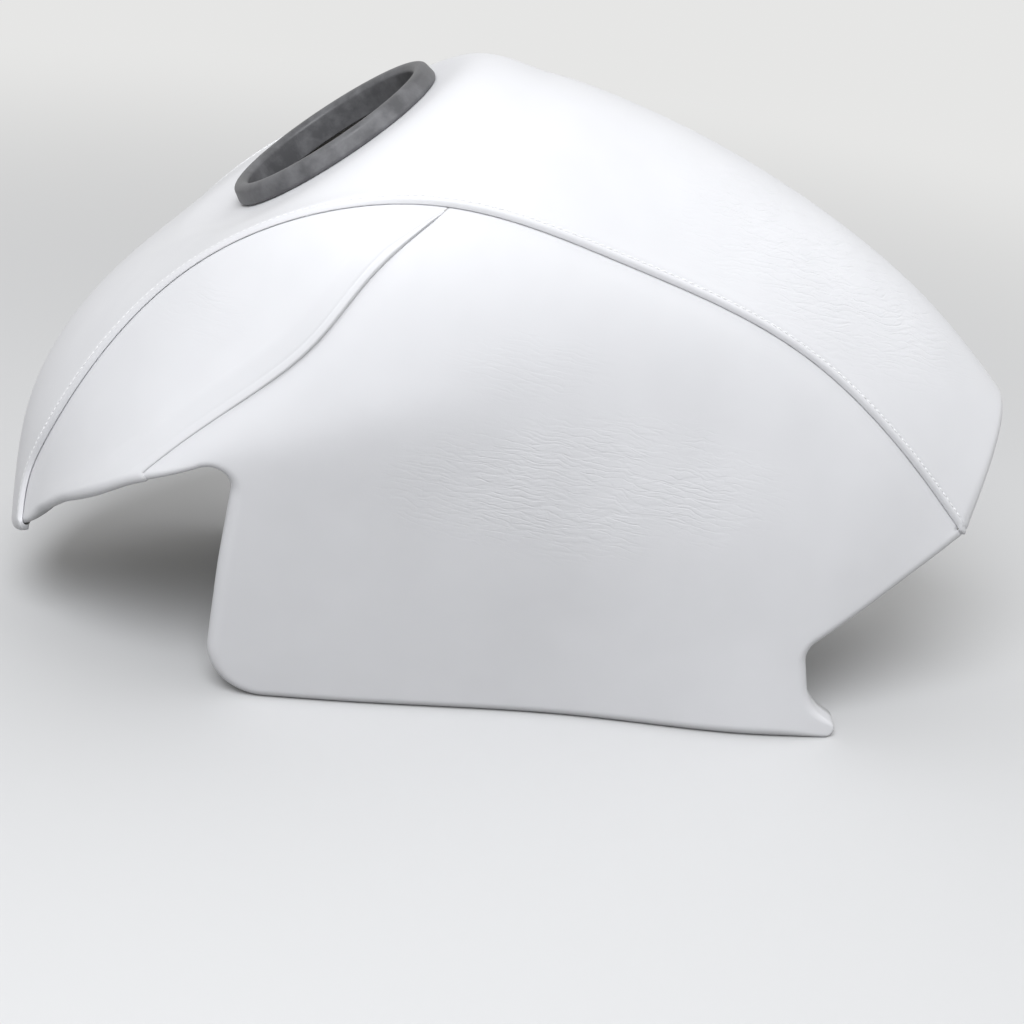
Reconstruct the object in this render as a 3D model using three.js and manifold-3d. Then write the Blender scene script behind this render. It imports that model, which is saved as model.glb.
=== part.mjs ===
// A fitted fuel tank cover for a motorbike, cut and sewn from leather-grain vinyl.
// The cover's front is towards -X, its left side towards -Y, and +Z is up. Sizes are millimetres.
import * as THREE from "three";
import Module from "manifold-3d";
import { mergeVertices } from "three/addons/utils/BufferGeometryUtils.js";

const wasm = await Module();
wasm.setup();

// Sheet and sewing
const vinyl = 1.1; // thickness of the sheet
const layerGap = 0.3; // air between sheets that lie on each other
const foldReturn = 10; // width of the turned-under edge at a lapped seam
const tuckWidth = 10; // how far a lower panel reaches under its neighbour
const hemRadius = 8; // the hem rolls inwards on this radius
const frontHemRadius = 3.5; // and on this one along the front edge, at the front
const hemLip = 14; // flat lip behind the rolled hem
const lipAtCorner = 5; // lip where two hems meet
const liftRamp = 18; // a lapped panel comes back to the body over this width

// Overall size. The stations below are given for a cover of the drawn size and follow this one.
const coverLength = 588; // front hem to rear hem
const coverWidth = 302; // across the widest place of the side panels
const coverHeight = 357; // lower hem to the filler collar's rim
const drawn = { length: 588, width: 302, height: 357 };
const stationX = (x) => (x * coverLength) / drawn.length;
const stationY = (y) => (y * coverWidth) / drawn.width;
const stationZ = (z) => (z * coverHeight) / drawn.height;

// Main seam, between the centre panel and what lies below it: [x, half width, z], front to rear
const seamLine = [
  [-277, 60, 71],
  [-276, 62, 92],
  [-264, 70, 128],
  [-222, 90, 204],
  [-150, 112, 275],
  [-62, 117, 302],
  [45, 106, 279.5],
  [150, 90, 236.5],
  [222, 78, 180],
  [272, 68, 126],
].map(([x, y, z]) => [stationX(x), stationY(y), stationZ(z)]);
// Crown of the centre panel above the same stations: [x, z]
const crownLine = [
  [-291, 50],
  [-290, 76],
  [-284.5, 124],
  [-235, 211.5],
  [-156, 273.5],
  [-65, 341.5],
  [45, 340.5],
  [150, 299.5],
  [237.5, 245],
  [295, 191],
].map(([x, z]) => [stationX(x), stationZ(z)]);
const crownFullness = 2.1; // exponent of the centre panel's cross-section

// Side of the body, at stations along X
const sideStations = [-279, -222, -150, -62, 45, 150, 272].map(stationX);
const shoulderRoll = [3, 8, 16, 20, 18, 12, 6].map(stationY); // width gained just below the main seam
const shoulderRollDepth = 26;
const sideFlare = [0.22, 0.4, 0.22, 0.16, 0.12, 0.08, 0.02]; // steady widening further down
const kneeStations = [-165, -60, 45, 150, 212, 272].map(stationX);
const kneeWidth = [120, 114, 105, 110.5, 110, 90].map(stationY); // half width of the knee surface at the hem
const kneeLean = [0.2, 0.2, 0.14, 0.04, -0.035, 0]; // its widening for each mm of height
const kneeFront = stationX(-175); // forward of this the knee surface runs straight on
const ridgeSoftness = [3, 5, 9, 10, 9, 8]; // how softly shoulder and knee surfaces meet
const dish = { x: stationX(20), z: stationZ(110), length: 110, height: 75, depth: 7 }; // hollow for a knee

// Seam between shoulder panel and side panel, from the main seam down: [x, z]
const junctionX = stationX(-49); // where it leaves the main seam
const shoulderSeamLine = [
  [-84, 268],
  [-110, 230],
  [-147.5, 192.5],
  [-182, 161],
  [-214.5, 125],
].map(([x, z]) => [stationX(x), stationZ(z)]);
const junctionGap = 4; // the lap ends this far before the main seam

// Lower outline in side view, front to rear: [x, z, corner radius]
const outlineCorners = [
  [-277, 71, 0],
  [-247, 103, 60],
  [-204.5, 135, 100],
  [-149, 160.5, 12],
  [-156.5, 90, 150],
  [-163, 0, 34],
  [225, 0, 10],
  [193.5, 20.5, 30],
  [185.5, 57, 12],
  [272, 126, 0],
].map(([x, z, radius]) => [stationX(x), stationZ(z), radius]);
const hemHeight = 0; // the straight hem rests at this height
const frontHemTurn = { x: stationX(-172), z: stationZ(150) }; // the front hem's small roll ends here
const cornerBlend = 25; // the front hem turns into line with the main seam over this length

// Filler opening
const filler = { x: stationX(-118), sink: 6, flatRadius: 76, blendRadius: 108 };
const openingRadius = 62;
const collar = { wall: 5, rise: 11, grip: 4.5, below: 4.4, edge: 1.6 };

// Mesh density
const frontColumns = 16; // along the shoulder panel
const rearColumns = 22; // along the side panel behind the junction
const hemTurns = 4;
const collarSegments = 40;
const eyeletSegments = 24;
const bendSteps = 8; // round a buckle's bar
const tabColumns = 12;
const shoulderRows = 6;
const sideRows = 8;
const centreRows = 12;

// Straps that run underneath, from hem to hem
const strap = { width: 25, thickness: 1.6, overlap: 12, turnBack: 34, ease: 14, clear: 0.4 };
const frontStrapX = stationX(-90);
const rearStrapX = stationX(150);
const patch = { length: 11, thickness: 1.2, margin: 3, step: 1.5, inset: 0.5 };
const buckle = { width: 34, height: 9, bar: 4, wall: 3, slot: 5, body: 26, corner: 1.5, roof: 1.3, play: 0.6 };
// Prongs of the plug, measured back from their tips: the barb's neck, shoulder and cheek
const prong = { width: 5, reach: 20, barb: 1.6, neck: 9, shoulder: 8, cheek: 5, taper: 2, shorter: 3, root: 2 };
const ladder = { width: 33, height: 3.5, bar: 4, slot: 4.5, corner: 2 };

// Rear tab with its two eyelets
const tab = { width: 62, length: 58, corner: 9, overlap: 9, slope: 35 };
const eyelet = { hole: 5, flange: 10, wall: 0.7, fromEnd: 13, rounding: 0.4, cut: 20 };
const eyeletSpacing = 0.55 * tab.width;

const full = 2 * (vinyl + layerGap); // height of a lapped panel above the body

// A natural cubic spline through values at increasing knots, straight beyond its ends.
function spline(knots, values) {
  const n = knots.length;
  const bend = new Array(n).fill(0);
  const upper = new Array(n).fill(0);
  for (let i = 1; i < n - 1; i++) {
    const h0 = knots[i] - knots[i - 1];
    const h1 = knots[i + 1] - knots[i];
    const slopeChange = (values[i + 1] - values[i]) / h1 - (values[i] - values[i - 1]) / h0;
    const pivot = 2 * (h0 + h1) - h0 * upper[i - 1];
    upper[i] = h1 / pivot;
    bend[i] = (6 * slopeChange - h0 * bend[i - 1]) / pivot;
  }
  for (let i = n - 2; i > 0; i--) bend[i] -= upper[i] * bend[i + 1];
  return (t) => {
    let k = 0;
    while (k < n - 2 && t > knots[k + 1]) k++;
    const h = knots[k + 1] - knots[k];
    const inside = Math.min(Math.max(t, knots[0]), knots[n - 1]);
    const a = (knots[k + 1] - inside) / h;
    const b = (inside - knots[k]) / h;
    const curve = ((a ** 3 - a) * bend[k] + (b ** 3 - b) * bend[k + 1]) * h * h;
    const lean = (1 - 3 * a * a) * bend[k] + (3 * b * b - 1) * bend[k + 1];
    const slope = (values[k + 1] - values[k]) / h + (lean * h) / 6;
    return a * values[k] + b * values[k + 1] + curve / 6 + slope * (t - inside);
  };
}

// Knots for a curve through points, by the length of the chords between them.
function chordKnots(points) {
  const knots = [0];
  for (let i = 1; i < points.length; i++) {
    const [x0, z0] = points[i - 1];
    knots.push(knots[i - 1] + Math.hypot(points[i][0] - x0, points[i][1] - z0));
  }
  return knots.map((k) => k / knots[knots.length - 1]);
}

function curve2(knots, points) {
  const x = spline(knots, points.map((p) => p[0]));
  const z = spline(knots, points.map((p) => p[1]));
  return (t) => ({ x: x(t), z: z(t) });
}

const mix = (a, b, f) => a + (b - a) * f;
const mix2 = (a, b, f) => ({ x: mix(a.x, b.x, f), z: mix(a.z, b.z, f) });
const distance2 = (a, b) => Math.hypot(a.x - b.x, a.z - b.z);
function smooth(f) {
  const t = Math.min(Math.max(f, 0), 1);
  return t * t * (3 - 2 * t);
}

// Side surface: half width of the body at (x, z)
const seamStations = seamLine.slice(1).map((p) => p[0]);
const seamHeightAt = spline(seamStations, seamLine.slice(1).map((p) => p[2]));
const seamWidthAt = spline(seamStations, seamLine.slice(1).map((p) => p[1]));
const rollAt = spline(sideStations, shoulderRoll);
const flareAt = spline(sideStations, sideFlare);
const kneeWidthAt = spline(kneeStations, kneeWidth);
const kneeLeanAt = spline(kneeStations, kneeLean);
const softnessAt = spline(kneeStations, ridgeSoftness);

function halfWidth(x, z) {
  const below = seamHeightAt(x) - z;
  const rolled = rollAt(x) * (1 - Math.exp(-below / shoulderRollDepth));
  const shoulder = seamWidthAt(x) + rolled + flareAt(x) * below;
  const kneeX = Math.max(x, kneeFront);
  const hollow = Math.exp(-(((x - dish.x) / dish.length) ** 2) - ((z - dish.z) / dish.height) ** 2);
  const knee = kneeWidthAt(kneeX) + kneeLeanAt(kneeX) * z - dish.depth * hollow;
  const soft = Math.max(softnessAt(kneeX), 2);
  const least = Math.min(shoulder, knee);
  return least - soft * Math.log(Math.exp((least - shoulder) / soft) + Math.exp((least - knee) / soft));
}

const slopeStep = 0.5;
function widthSlope(x, z) {
  return {
    x: (halfWidth(x + slopeStep, z) - halfWidth(x - slopeStep, z)) / (2 * slopeStep),
    z: (halfWidth(x, z + slopeStep) - halfWidth(x, z - slopeStep)) / (2 * slopeStep),
  };
}
// The left side's outward normal.
function sideNormal(x, z) {
  const slope = widthSlope(x, z);
  return new THREE.Vector3(-slope.x, -1, -slope.z).normalize();
}
function sidePoint(p, level) {
  const point = new THREE.Vector3(p.x, -halfWidth(p.x, p.z), p.z);
  return point.addScaledVector(sideNormal(p.x, p.z), level);
}
// A direction of the side view, laid on the side surface.
function onSide(p, direction) {
  const slope = widthSlope(p.x, p.z);
  const across = -(slope.x * direction.x + slope.z * direction.z);
  return new THREE.Vector3(direction.x, across, direction.z);
}

// Centre surface: s runs from front to rear and q from the left seam (-1) to the right (1).
const seamKnots = chordKnots(seamLine.map((p) => [p[0], p[2]]));
const seamAt = curve2(seamKnots, seamLine.map((p) => [p[0], p[2]]));
const crownAt = curve2(seamKnots, crownLine);

function arch(s, q) {
  const seam = seamAt(s);
  const p = mix2(crownAt(s), seam, Math.abs(q) ** crownFullness);
  return new THREE.Vector3(p.x, q * halfWidth(seam.x, seam.z), p.z);
}
// Parameter where a curve that runs in +X passes x.
function whereX(curve, x, from, to) {
  let low = from;
  let high = to;
  for (let i = 0; i < 50; i++) {
    const middle = (low + high) / 2;
    if (curve(middle).x < x) low = middle;
    else high = middle;
  }
  return (low + high) / 2;
}
const fillerS = whereX(crownAt, filler.x, 0.1, 0.9);
const fillerAlong = new THREE.Vector3()
  .subVectors(arch(fillerS + 0.05, 0), arch(fillerS - 0.05, 0))
  .normalize();
const fillerNormal = new THREE.Vector3(-fillerAlong.z, 0, fillerAlong.x);
const fillerSeat = arch(fillerS, 0).addScaledVector(fillerNormal, -filler.sink);

// The arch, pressed flat round the filler opening.
function centre(s, q) {
  const point = arch(s, q);
  const offset = new THREE.Vector3().subVectors(point, fillerSeat);
  const above = offset.dot(fillerNormal);
  const radius = Math.sqrt(Math.max(offset.lengthSq() - above * above, 0));
  const flat = 1 - smooth((radius - filler.flatRadius) / (filler.blendRadius - filler.flatRadius));
  return point.addScaledVector(fillerNormal, -above * flat);
}
function centreFrame(s, q) {
  const along = new THREE.Vector3().subVectors(centre(s + 0.001, q), centre(s - 0.001, q)).normalize();
  const across = new THREE.Vector3().subVectors(centre(s, q + 0.002), centre(s, q - 0.002));
  const reach = across.length() / 0.004;
  const normal = new THREE.Vector3().crossVectors(along, across.normalize()).normalize();
  return { along, normal, reach };
}
// A point near the main seam: d is measured from the seam into the centre panel.
function nearSeam(s, side, d, level) {
  const q = side * (1 - d / centreFrame(s, side).reach);
  return centre(s, q).addScaledVector(centreFrame(s, q).normal, level);
}

// Seam between shoulder and side panels: t runs from the main seam (0) down to the hem.
const junctionS = whereX(seamAt, junctionX, 0.1, 0.9);
const junction = seamAt(junctionS);
const shoulderPoints = [[junction.x, junction.z], ...shoulderSeamLine];
const shoulderKnots = chordKnots(shoulderPoints);
const shoulderSeamAt = curve2(shoulderKnots, shoulderPoints);
const shoulderSeamLength = shoulderPoints
  .slice(1)
  .reduce((sum, p, i) => sum + Math.hypot(p[0] - shoulderPoints[i][0], p[1] - shoulderPoints[i][1]), 0);
// A side-view point at distance d from that seam, positive towards the shoulder panel.
function besideShoulderSeam(t, d) {
  const p = shoulderSeamAt(t);
  const ahead = shoulderSeamAt(t + 0.005);
  const length = distance2(p, ahead);
  const out = { x: (ahead.z - p.z) / length, z: -(ahead.x - p.x) / length };
  const stretch = onSide(p, out).length();
  return { x: p.x + (out.x * d) / stretch, z: p.z + (out.z * d) / stretch };
}

// Lower outline with rounded corners, as points at even steps and its own direction there.
function roundedPath(corners, step) {
  const points = [];
  corners.forEach(([x, z, radius], i) => {
    if (!radius) {
      points.push(new THREE.Vector2(x, z));
      return;
    }
    const here = new THREE.Vector2(x, z);
    const before = new THREE.Vector2(...corners[i - 1].slice(0, 2)).sub(here);
    const after = new THREE.Vector2(...corners[i + 1].slice(0, 2)).sub(here);
    const half = Math.acos(before.clone().normalize().dot(after.clone().normalize())) / 2;
    const reach = Math.min(radius / Math.tan(half), 0.49 * before.length(), 0.49 * after.length());
    const bend = reach * Math.tan(half);
    const start = here.clone().addScaledVector(before.normalize(), reach);
    const end = here.clone().addScaledVector(after.normalize(), reach);
    const middle = here
      .clone()
      .addScaledVector(before.clone().add(after).normalize(), bend / Math.sin(half));
    const a0 = Math.atan2(start.y - middle.y, start.x - middle.x);
    const a1 = Math.atan2(end.y - middle.y, end.x - middle.x);
    const turn = ((a1 - a0 + 3 * Math.PI) % (2 * Math.PI)) - Math.PI;
    const steps = Math.max(2, Math.ceil((Math.abs(turn) * bend) / step));
    for (let k = 0; k <= steps; k++) {
      const angle = a0 + (turn * k) / steps;
      points.push(new THREE.Vector2(middle.x + bend * Math.cos(angle), middle.y + bend * Math.sin(angle)));
    }
  });
  const lengths = [0];
  for (let i = 1; i < points.length; i++) {
    lengths.push(lengths[i - 1] + points[i].distanceTo(points[i - 1]));
  }
  const total = lengths[lengths.length - 1];
  return {
    total,
    at(length) {
      const l = Math.min(Math.max(length, 0), total);
      let k = 0;
      while (k < lengths.length - 2 && l > lengths[k + 1]) k++;
      const f = (l - lengths[k]) / (lengths[k + 1] - lengths[k]);
      return { x: mix(points[k].x, points[k + 1].x, f), z: mix(points[k].y, points[k + 1].y, f) };
    },
  };
}
const outline = roundedPath(outlineCorners, 1.5);
// Length along the outline of the point nearest to p.
function nearestOnOutline(p) {
  let best = 0;
  let least = Infinity;
  for (let l = 0; l <= outline.total; l += 0.5) {
    const gap = distance2(outline.at(l), p);
    if (gap < least) {
      least = gap;
      best = l;
    }
  }
  return best;
}

// The hem's lip points into the hollow: to the steering head, to the rear arch's axis, or straight in.
const steeringAxisX = stationX(-235);
const rearAxisZ = seamLine[seamLine.length - 1][2];
function lipDirection(point) {
  const forward = Math.max(0, steeringAxisX - point.x);
  const down = Math.max(0, point.z - rearAxisZ) * smooth(point.x / 50);
  return new THREE.Vector3(forward, -point.y, -down).normalize();
}
// A point of a rolled hem that starts at `start`, leaves along `out` and ends along `into`.
function hemPoint({ start, out, into, radius }, turn, beyond, level) {
  const side = into.clone().addScaledVector(out, -into.dot(out)).normalize();
  const angle = turn * Math.acos(THREE.MathUtils.clamp(into.dot(out), -1, 1));
  const outward = out.clone().multiplyScalar(Math.sin(angle)).addScaledVector(side, -Math.cos(angle));
  return start
    .clone()
    .addScaledVector(out, radius * Math.sin(angle))
    .addScaledVector(side, radius * (1 - Math.cos(angle)))
    .addScaledVector(outward, level)
    .addScaledVector(into, beyond);
}

// Where the hem starts to roll, for a length along the lower outline.
const frontHemEnd = nearestOnOutline(frontHemTurn);
const seamFront = direction2(seamAt(0), seamAt(0.02));
const seamRear = direction2(seamAt(1), seamAt(0.98));
function direction2(from, to) {
  const length = distance2(from, to);
  return { x: (to.x - from.x) / length, z: (to.z - from.z) / length };
}
function hemStart(length) {
  const edge = outline.at(length);
  const before = outline.at(length - 1);
  const after = outline.at(length + 1);
  const run = direction2(before, after);
  let inward = { x: -run.z, z: run.x };
  inward = mix2(seamFront, inward, smooth(length / cornerBlend));
  inward = mix2(seamRear, inward, smooth((outline.total - length) / cornerBlend));
  const size = Math.hypot(inward.x, inward.z);
  inward = { x: inward.x / size, z: inward.z / size };
  const radius = mix(frontHemRadius, hemRadius, smooth((length - frontHemEnd) / cornerBlend));
  let place = edge;
  let out;
  let into;
  for (let i = 0; i < 3; i++) {
    out = onSide(place, { x: -inward.x, z: -inward.z }).normalize();
    into = lipDirection(sidePoint(place, 0));
    const inset = radius * (1 - into.dot(out));
    place = { x: edge.x + inward.x * inset, z: edge.z + inward.z * inset };
  }
  return { place, start: sidePoint(place, 0), out, into, radius, edge };
}

// A closed solid between two grids of points, the outer and the inner face of a sheet.
function sheetSolid(outer, inner, symmetric = false) {
  const columns = outer.length;
  const rows = outer[0].length;
  const positions = [];
  for (const face of [outer, inner]) {
    for (const column of face) for (const p of column) positions.push(p.x, p.y, p.z);
  }
  const index = [];
  const at = (face, i, j) => face * columns * rows + i * rows + j;
  const quad = (a, b, c, d) => index.push(a, b, c, a, c, d);
  const turned = (a, b, c, d) => index.push(b, c, d, b, d, a);
  for (let i = 0; i < columns - 1; i++) {
    for (let j = 0; j < rows - 1; j++) {
      const split = symmetric && 2 * j >= rows - 1 ? turned : quad; // diagonals mirror each other
      split(at(0, i, j), at(0, i + 1, j), at(0, i + 1, j + 1), at(0, i, j + 1));
      split(at(1, i, j), at(1, i, j + 1), at(1, i + 1, j + 1), at(1, i + 1, j));
    }
    quad(at(0, i, 0), at(1, i, 0), at(1, i + 1, 0), at(0, i + 1, 0));
    quad(at(0, i, rows - 1), at(0, i + 1, rows - 1), at(1, i + 1, rows - 1), at(1, i, rows - 1));
  }
  for (let j = 0; j < rows - 1; j++) {
    quad(at(0, 0, j), at(0, 0, j + 1), at(1, 0, j + 1), at(1, 0, j));
    quad(at(0, columns - 1, j), at(1, columns - 1, j), at(1, columns - 1, j + 1), at(0, columns - 1, j + 1));
  }
  return facingOut(new THREE.BufferGeometry()
    .setAttribute("position", new THREE.Float32BufferAttribute(positions, 3))
    .setIndex(index));
}
// Turns every face round if the solid's volume comes out negative.
function facingOut(geometry) {
  const p = geometry.attributes.position;
  const index = geometry.index.array;
  const [a, b, c] = [new THREE.Vector3(), new THREE.Vector3(), new THREE.Vector3()];
  let volume = 0;
  for (let i = 0; i < index.length; i += 3) {
    a.fromBufferAttribute(p, index[i]);
    b.fromBufferAttribute(p, index[i + 1]);
    c.fromBufferAttribute(p, index[i + 2]);
    volume += a.dot(b.cross(c));
  }
  if (volume < 0) {
    for (let i = 0; i < index.length; i += 3) [index[i + 1], index[i + 2]] = [index[i + 2], index[i + 1]];
  }
  return geometry;
}
function mirrored(geometry) {
  const copy = geometry.clone();
  copy.scale(1, -1, 1);
  return facingOut(copy);
}

// Section of a folded edge, from the end of the return round the nose to the top:
// distance from the seam and height above the body, of the sheet's outer and inner face.
function foldSection(returnWidth) {
  const outerRadius = (2 * vinyl + layerGap) / 2;
  const innerRadius = layerGap / 2;
  const middle = layerGap + outerRadius;
  const section = [{ out: [returnWidth, layerGap], in: [returnWidth, layerGap + vinyl] }];
  for (const degrees of [-90, -30, 30, 90]) {
    const angle = THREE.MathUtils.degToRad(degrees);
    const point = (r) => [outerRadius - r * Math.cos(angle), middle + r * Math.sin(angle)];
    section.push({ out: point(outerRadius), in: point(innerRadius) });
  }
  return section;
}
const fold = foldSection(foldReturn);

// Centre panel
const hemFrontS = (0.02 * frontHemRadius) / distance2(seamAt(0), seamAt(0.02));
const hemRearS = 1 - (0.02 * hemRadius) / distance2(seamAt(1), seamAt(0.98));
const frontS = Array.from({ length: frontColumns + 1 }, (_, i) => mix(hemFrontS, junctionS, i / frontColumns));
const rearS = Array.from({ length: rearColumns + 1 }, (_, i) => mix(junctionS, hemRearS, i / rearColumns));

function centrePanel() {
  const foldRows = fold.map((row) => ({ edge: -1, ...row }));
  const rows = [...foldRows];
  for (let j = 1; j < centreRows; j++) {
    rows.push({ q: mix(-1, 1, j / centreRows), out: [0, full], in: [0, full - vinyl] });
  }
  rows.push(...foldRows.map((row) => ({ ...row, edge: 1 })).reverse());
  const inset = (s) => foldReturn / centreFrame(s, 1).reach;
  const rowQ = (row, s, d) =>
    row.edge ? row.edge * (1 - d / centreFrame(s, row.edge).reach) : row.q * (1 - inset(s));
  const place = (row, s, face) => {
    const q = rowQ(row, s, row[face][0]);
    return centre(s, q).addScaledVector(centreFrame(s, q).normal, row[face][1]);
  };
  const hem = (row, front, turn, beyond, face) => {
    const s = front ? hemFrontS : hemRearS;
    const q = rowQ(row, s, row[face][0]);
    const start = centre(s, q);
    const out = centreFrame(s, q).along.multiplyScalar(front ? -1 : 1);
    const radius = front ? frontHemRadius : hemRadius;
    return hemPoint({ start, out, into: lipDirection(start), radius }, turn, beyond, row[face][1]);
  };
  const lip = (row) => (row.edge ? lipAtCorner : mix(hemLip, lipAtCorner, Math.abs(row.q) ** 8));
  const grid = (face) => {
    const columns = [];
    columns.push(rows.map((row) => hem(row, true, 1, lip(row), face)));
    for (let k = hemTurns; k > 0; k--) columns.push(rows.map((row) => hem(row, true, k / hemTurns, 0, face)));
    for (const s of [...frontS, ...rearS.slice(1)]) columns.push(rows.map((row) => place(row, s, face)));
    for (let k = 1; k <= hemTurns; k++) columns.push(rows.map((row) => hem(row, false, k / hemTurns, 0, face)));
    columns.push(rows.map((row) => hem(row, false, 1, lip(row), face)));
    return columns;
  };
  const cutter = new THREE.CylinderGeometry(openingRadius, openingRadius, 60, 40);
  cutter.rotateX(Math.PI / 2);
  cutter.applyQuaternion(new THREE.Quaternion().setFromUnitVectors(new THREE.Vector3(0, 0, 1), fillerNormal));
  cutter.translate(fillerSeat.x, fillerSeat.y, fillerSeat.z);
  return subtract(sheetSolid(grid("out"), grid("in"), true), cutter);
}

function toManifold(geometry) {
  const bare = geometry.clone();
  bare.deleteAttribute("normal");
  bare.deleteAttribute("uv");
  const merged = mergeVertices(bare, 1e-4);
  return new wasm.Manifold(
    new wasm.Mesh({
      numProp: 3,
      vertProperties: merged.attributes.position.array,
      triVerts: new Uint32Array(merged.index.array),
    }),
  );
}
function fromManifold(solid) {
  const mesh = solid.getMesh();
  return new THREE.BufferGeometry()
    .setAttribute("position", new THREE.BufferAttribute(mesh.vertProperties, 3))
    .setIndex(new THREE.BufferAttribute(mesh.triVerts, 1));
}
function subtract(from, ...cutters) {
  return fromManifold(cutters.reduce((solid, c) => solid.subtract(toManifold(c)), toManifold(from)));
}
function join(...pieces) {
  return fromManifold(pieces.slice(1).reduce((solid, p) => solid.add(toManifold(p)), toManifold(pieces[0])));
}

// Shoulder seam stations, from the hem to the junction, in mm from the junction
const hemT = (() => {
  let t = 1;
  while (t > 0 && insideHem(shoulderSeamAt(t))) t -= 0.002;
  return t;
})();
function insideHem(p) {
  const length = nearestOnOutline(p);
  const { place, out } = hemStart(length);
  return (p.x - place.x) * out.x + (p.z - place.z) * out.z > 0;
}
const lapFree = 20; // from here to the junction the lap comes down to the body
const lapEnd = [junctionGap, lapFree, 2 * lapFree];
const shoulderT = [];
for (let i = 0; i <= frontColumns - lapEnd.length; i++) {
  shoulderT.push(mix(hemT, lapEnd[2] / shoulderSeamLength, i / (frontColumns + 1 - lapEnd.length)));
}
shoulderT.push(...[...lapEnd].reverse().map((mm) => mm / shoulderSeamLength));
const liftAt = (t) => full * smooth((t * shoulderSeamLength - junctionGap) / (lapFree - junctionGap));

const edgeGap = layerGap; // a raw edge stops this far short of the lap beside it
const edgeRow = 1.5; // first row of a trimmed edge
const seamStepS = distance2(seamAt(junctionS), seamAt(junctionS + 0.01)) / 0.01; // mm for a unit of s

// Shoulder panel, left side
function shoulderPanel() {
  const hemEnd = nearestOnOutline(shoulderSeamAt(hemT));
  const seamRun = direction2(shoulderSeamAt(hemT), shoulderSeamAt(hemT - 0.02));
  const hemRun = direction2(outline.at(hemEnd), outline.at(hemEnd - 2));
  const meeting = Math.abs(seamRun.x * hemRun.z - seamRun.z * hemRun.x); // sine of the angle between
  const topS = frontS.map((s, i) => (i === frontColumns ? s - 1 / seamStepS : s));
  const widthOf = (i) => distance2(seamAt(topS[i]), shoulderSeamAt(shoulderT[i]));
  const returnOf = (i) => Math.min(foldReturn, 0.45 * widthOf(i));
  const foldRows = (i) => foldSection(returnOf(i)).reverse();
  const levelAt = (i, fromLap, fromSeam) =>
    liftAt(shoulderT[i]) * (1 - smooth((fromLap - foldReturn) / liftRamp)) * smooth(fromSeam / foldReturn);
  // Every row of column i: the place on the body and the level of the sheet's two faces there.
  const column = (i, face) => {
    const t = shoulderT[i];
    const under = face === "out" ? 0 : -vinyl;
    const points = [];
    const trimmed = i === 0;
    points.push(nearSeam(topS[i], -1, trimmed ? -edgeGap : tuckWidth, under));
    points.push(nearSeam(topS[i], -1, trimmed ? -edgeRow : 0, under));
    const top = seamAt(topS[i]);
    const low = besideShoulderSeam(t, returnOf(i));
    const width = distance2(top, low);
    for (let j = 1; j <= shoulderRows; j++) {
      const f = j / shoulderRows;
      const level = levelAt(i, returnOf(i) + (1 - f) * width, f * width) + under;
      points.push(sidePoint(mix2(top, low, f), level));
    }
    for (const row of foldRows(i)) {
      const [d, level] = row[face];
      points.push(sidePoint(besideShoulderSeam(t, d), level - full + liftAt(t)));
    }
    return points;
  };
  // The same rows where the panel meets the hem, as lengths along the lower outline.
  const hemRows = (face) => {
    const under = face === "out" ? 0 : -vinyl;
    const lapStart = hemEnd - foldReturn / meeting;
    const rows = [
      { length: edgeGap, level: under },
      { length: edgeRow, level: under },
    ];
    for (let j = 1; j <= shoulderRows; j++) {
      const f = j / shoulderRows;
      const fromLap = foldReturn + (1 - f) * lapStart * meeting;
      rows.push({ length: mix(edgeRow, lapStart, f), level: levelAt(0, fromLap, f * lapStart) + under });
    }
    for (const row of foldRows(0)) {
      rows.push({ length: hemEnd - edgeGap - row[face][0] / meeting, level: row[face][1] });
    }
    return rows;
  };
  const rim = (face, turn, reach) =>
    hemRows(face).map(({ length, level }) => {
      const hem = hemStart(length);
      if (!turn) return sidePoint(hem.place, level);
      const lip = mix(lipAtCorner, hemLip, smooth(length / cornerBlend));
      return hemPoint(hem, turn, reach * lip, level);
    });
  const grid = (face) => {
    const columns = [rim(face, 1, 1)];
    for (let k = hemTurns; k >= 0; k--) columns.push(rim(face, k / hemTurns, 0));
    for (let i = 1; i <= frontColumns; i++) columns.push(column(i, face));
    return columns;
  };
  return sheetSolid(grid("out"), grid("in"));
}

const bowPeak = 27 / 4; // makes f * f * (1 - f) reach 1
// Rows of the side panel run from a seam to a place on the lower outline, bowed along X:
// [share of the seam, x, z, bow]
const frontRulings = [
  [0, -212, 128, 0],
  [0.15, -181, 147, 0],
  [0.25, -163, 155, 0],
  [0.32, -156, 155, 0],
  [0.39, -152, 149, 0],
  [0.46, -152, 138, 0],
  [0.6, -156, 95, 0],
  [0.7, -161, 28, 0],
  [0.77, -158, 13, 0],
  [0.84, -149, 3, 0],
  [0.91, -137, 0, 0],
  [1, -100, 0, 0],
];
const rearRulings = [
  [0, -100, 0, 0],
  [0.22, 5, 0, 0],
  [0.45, 110, 0, -8],
  [0.55, 166, 0, -24],
  [0.59, 184, 0, -36],
  [0.636, 201, 0, -47],
  [0.682, 222, 0, -48],
  [0.727, 196, 22, -23],
  [0.773, 190, 36, -15],
  [0.818, 187, 49, -6],
  [0.864, 189.5, 61, 0],
  [0.915, 196, 68, 0],
  [0.96, 230, 93.5, 0],
  [1, 272, 126, 0],
];
function lookUp(table, f, column) {
  let k = 0;
  while (k < table.length - 2 && f > table[k + 1][0]) k++;
  return mix(table[k][column], table[k + 1][column], (f - table[k][0]) / (table[k + 1][0] - table[k][0]));
}
function withLengths(table) {
  return table.map(([f, x, z, bow]) => [f, nearestOnOutline({ x: stationX(x), z: stationZ(z) }), stationX(bow)]);
}

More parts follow.
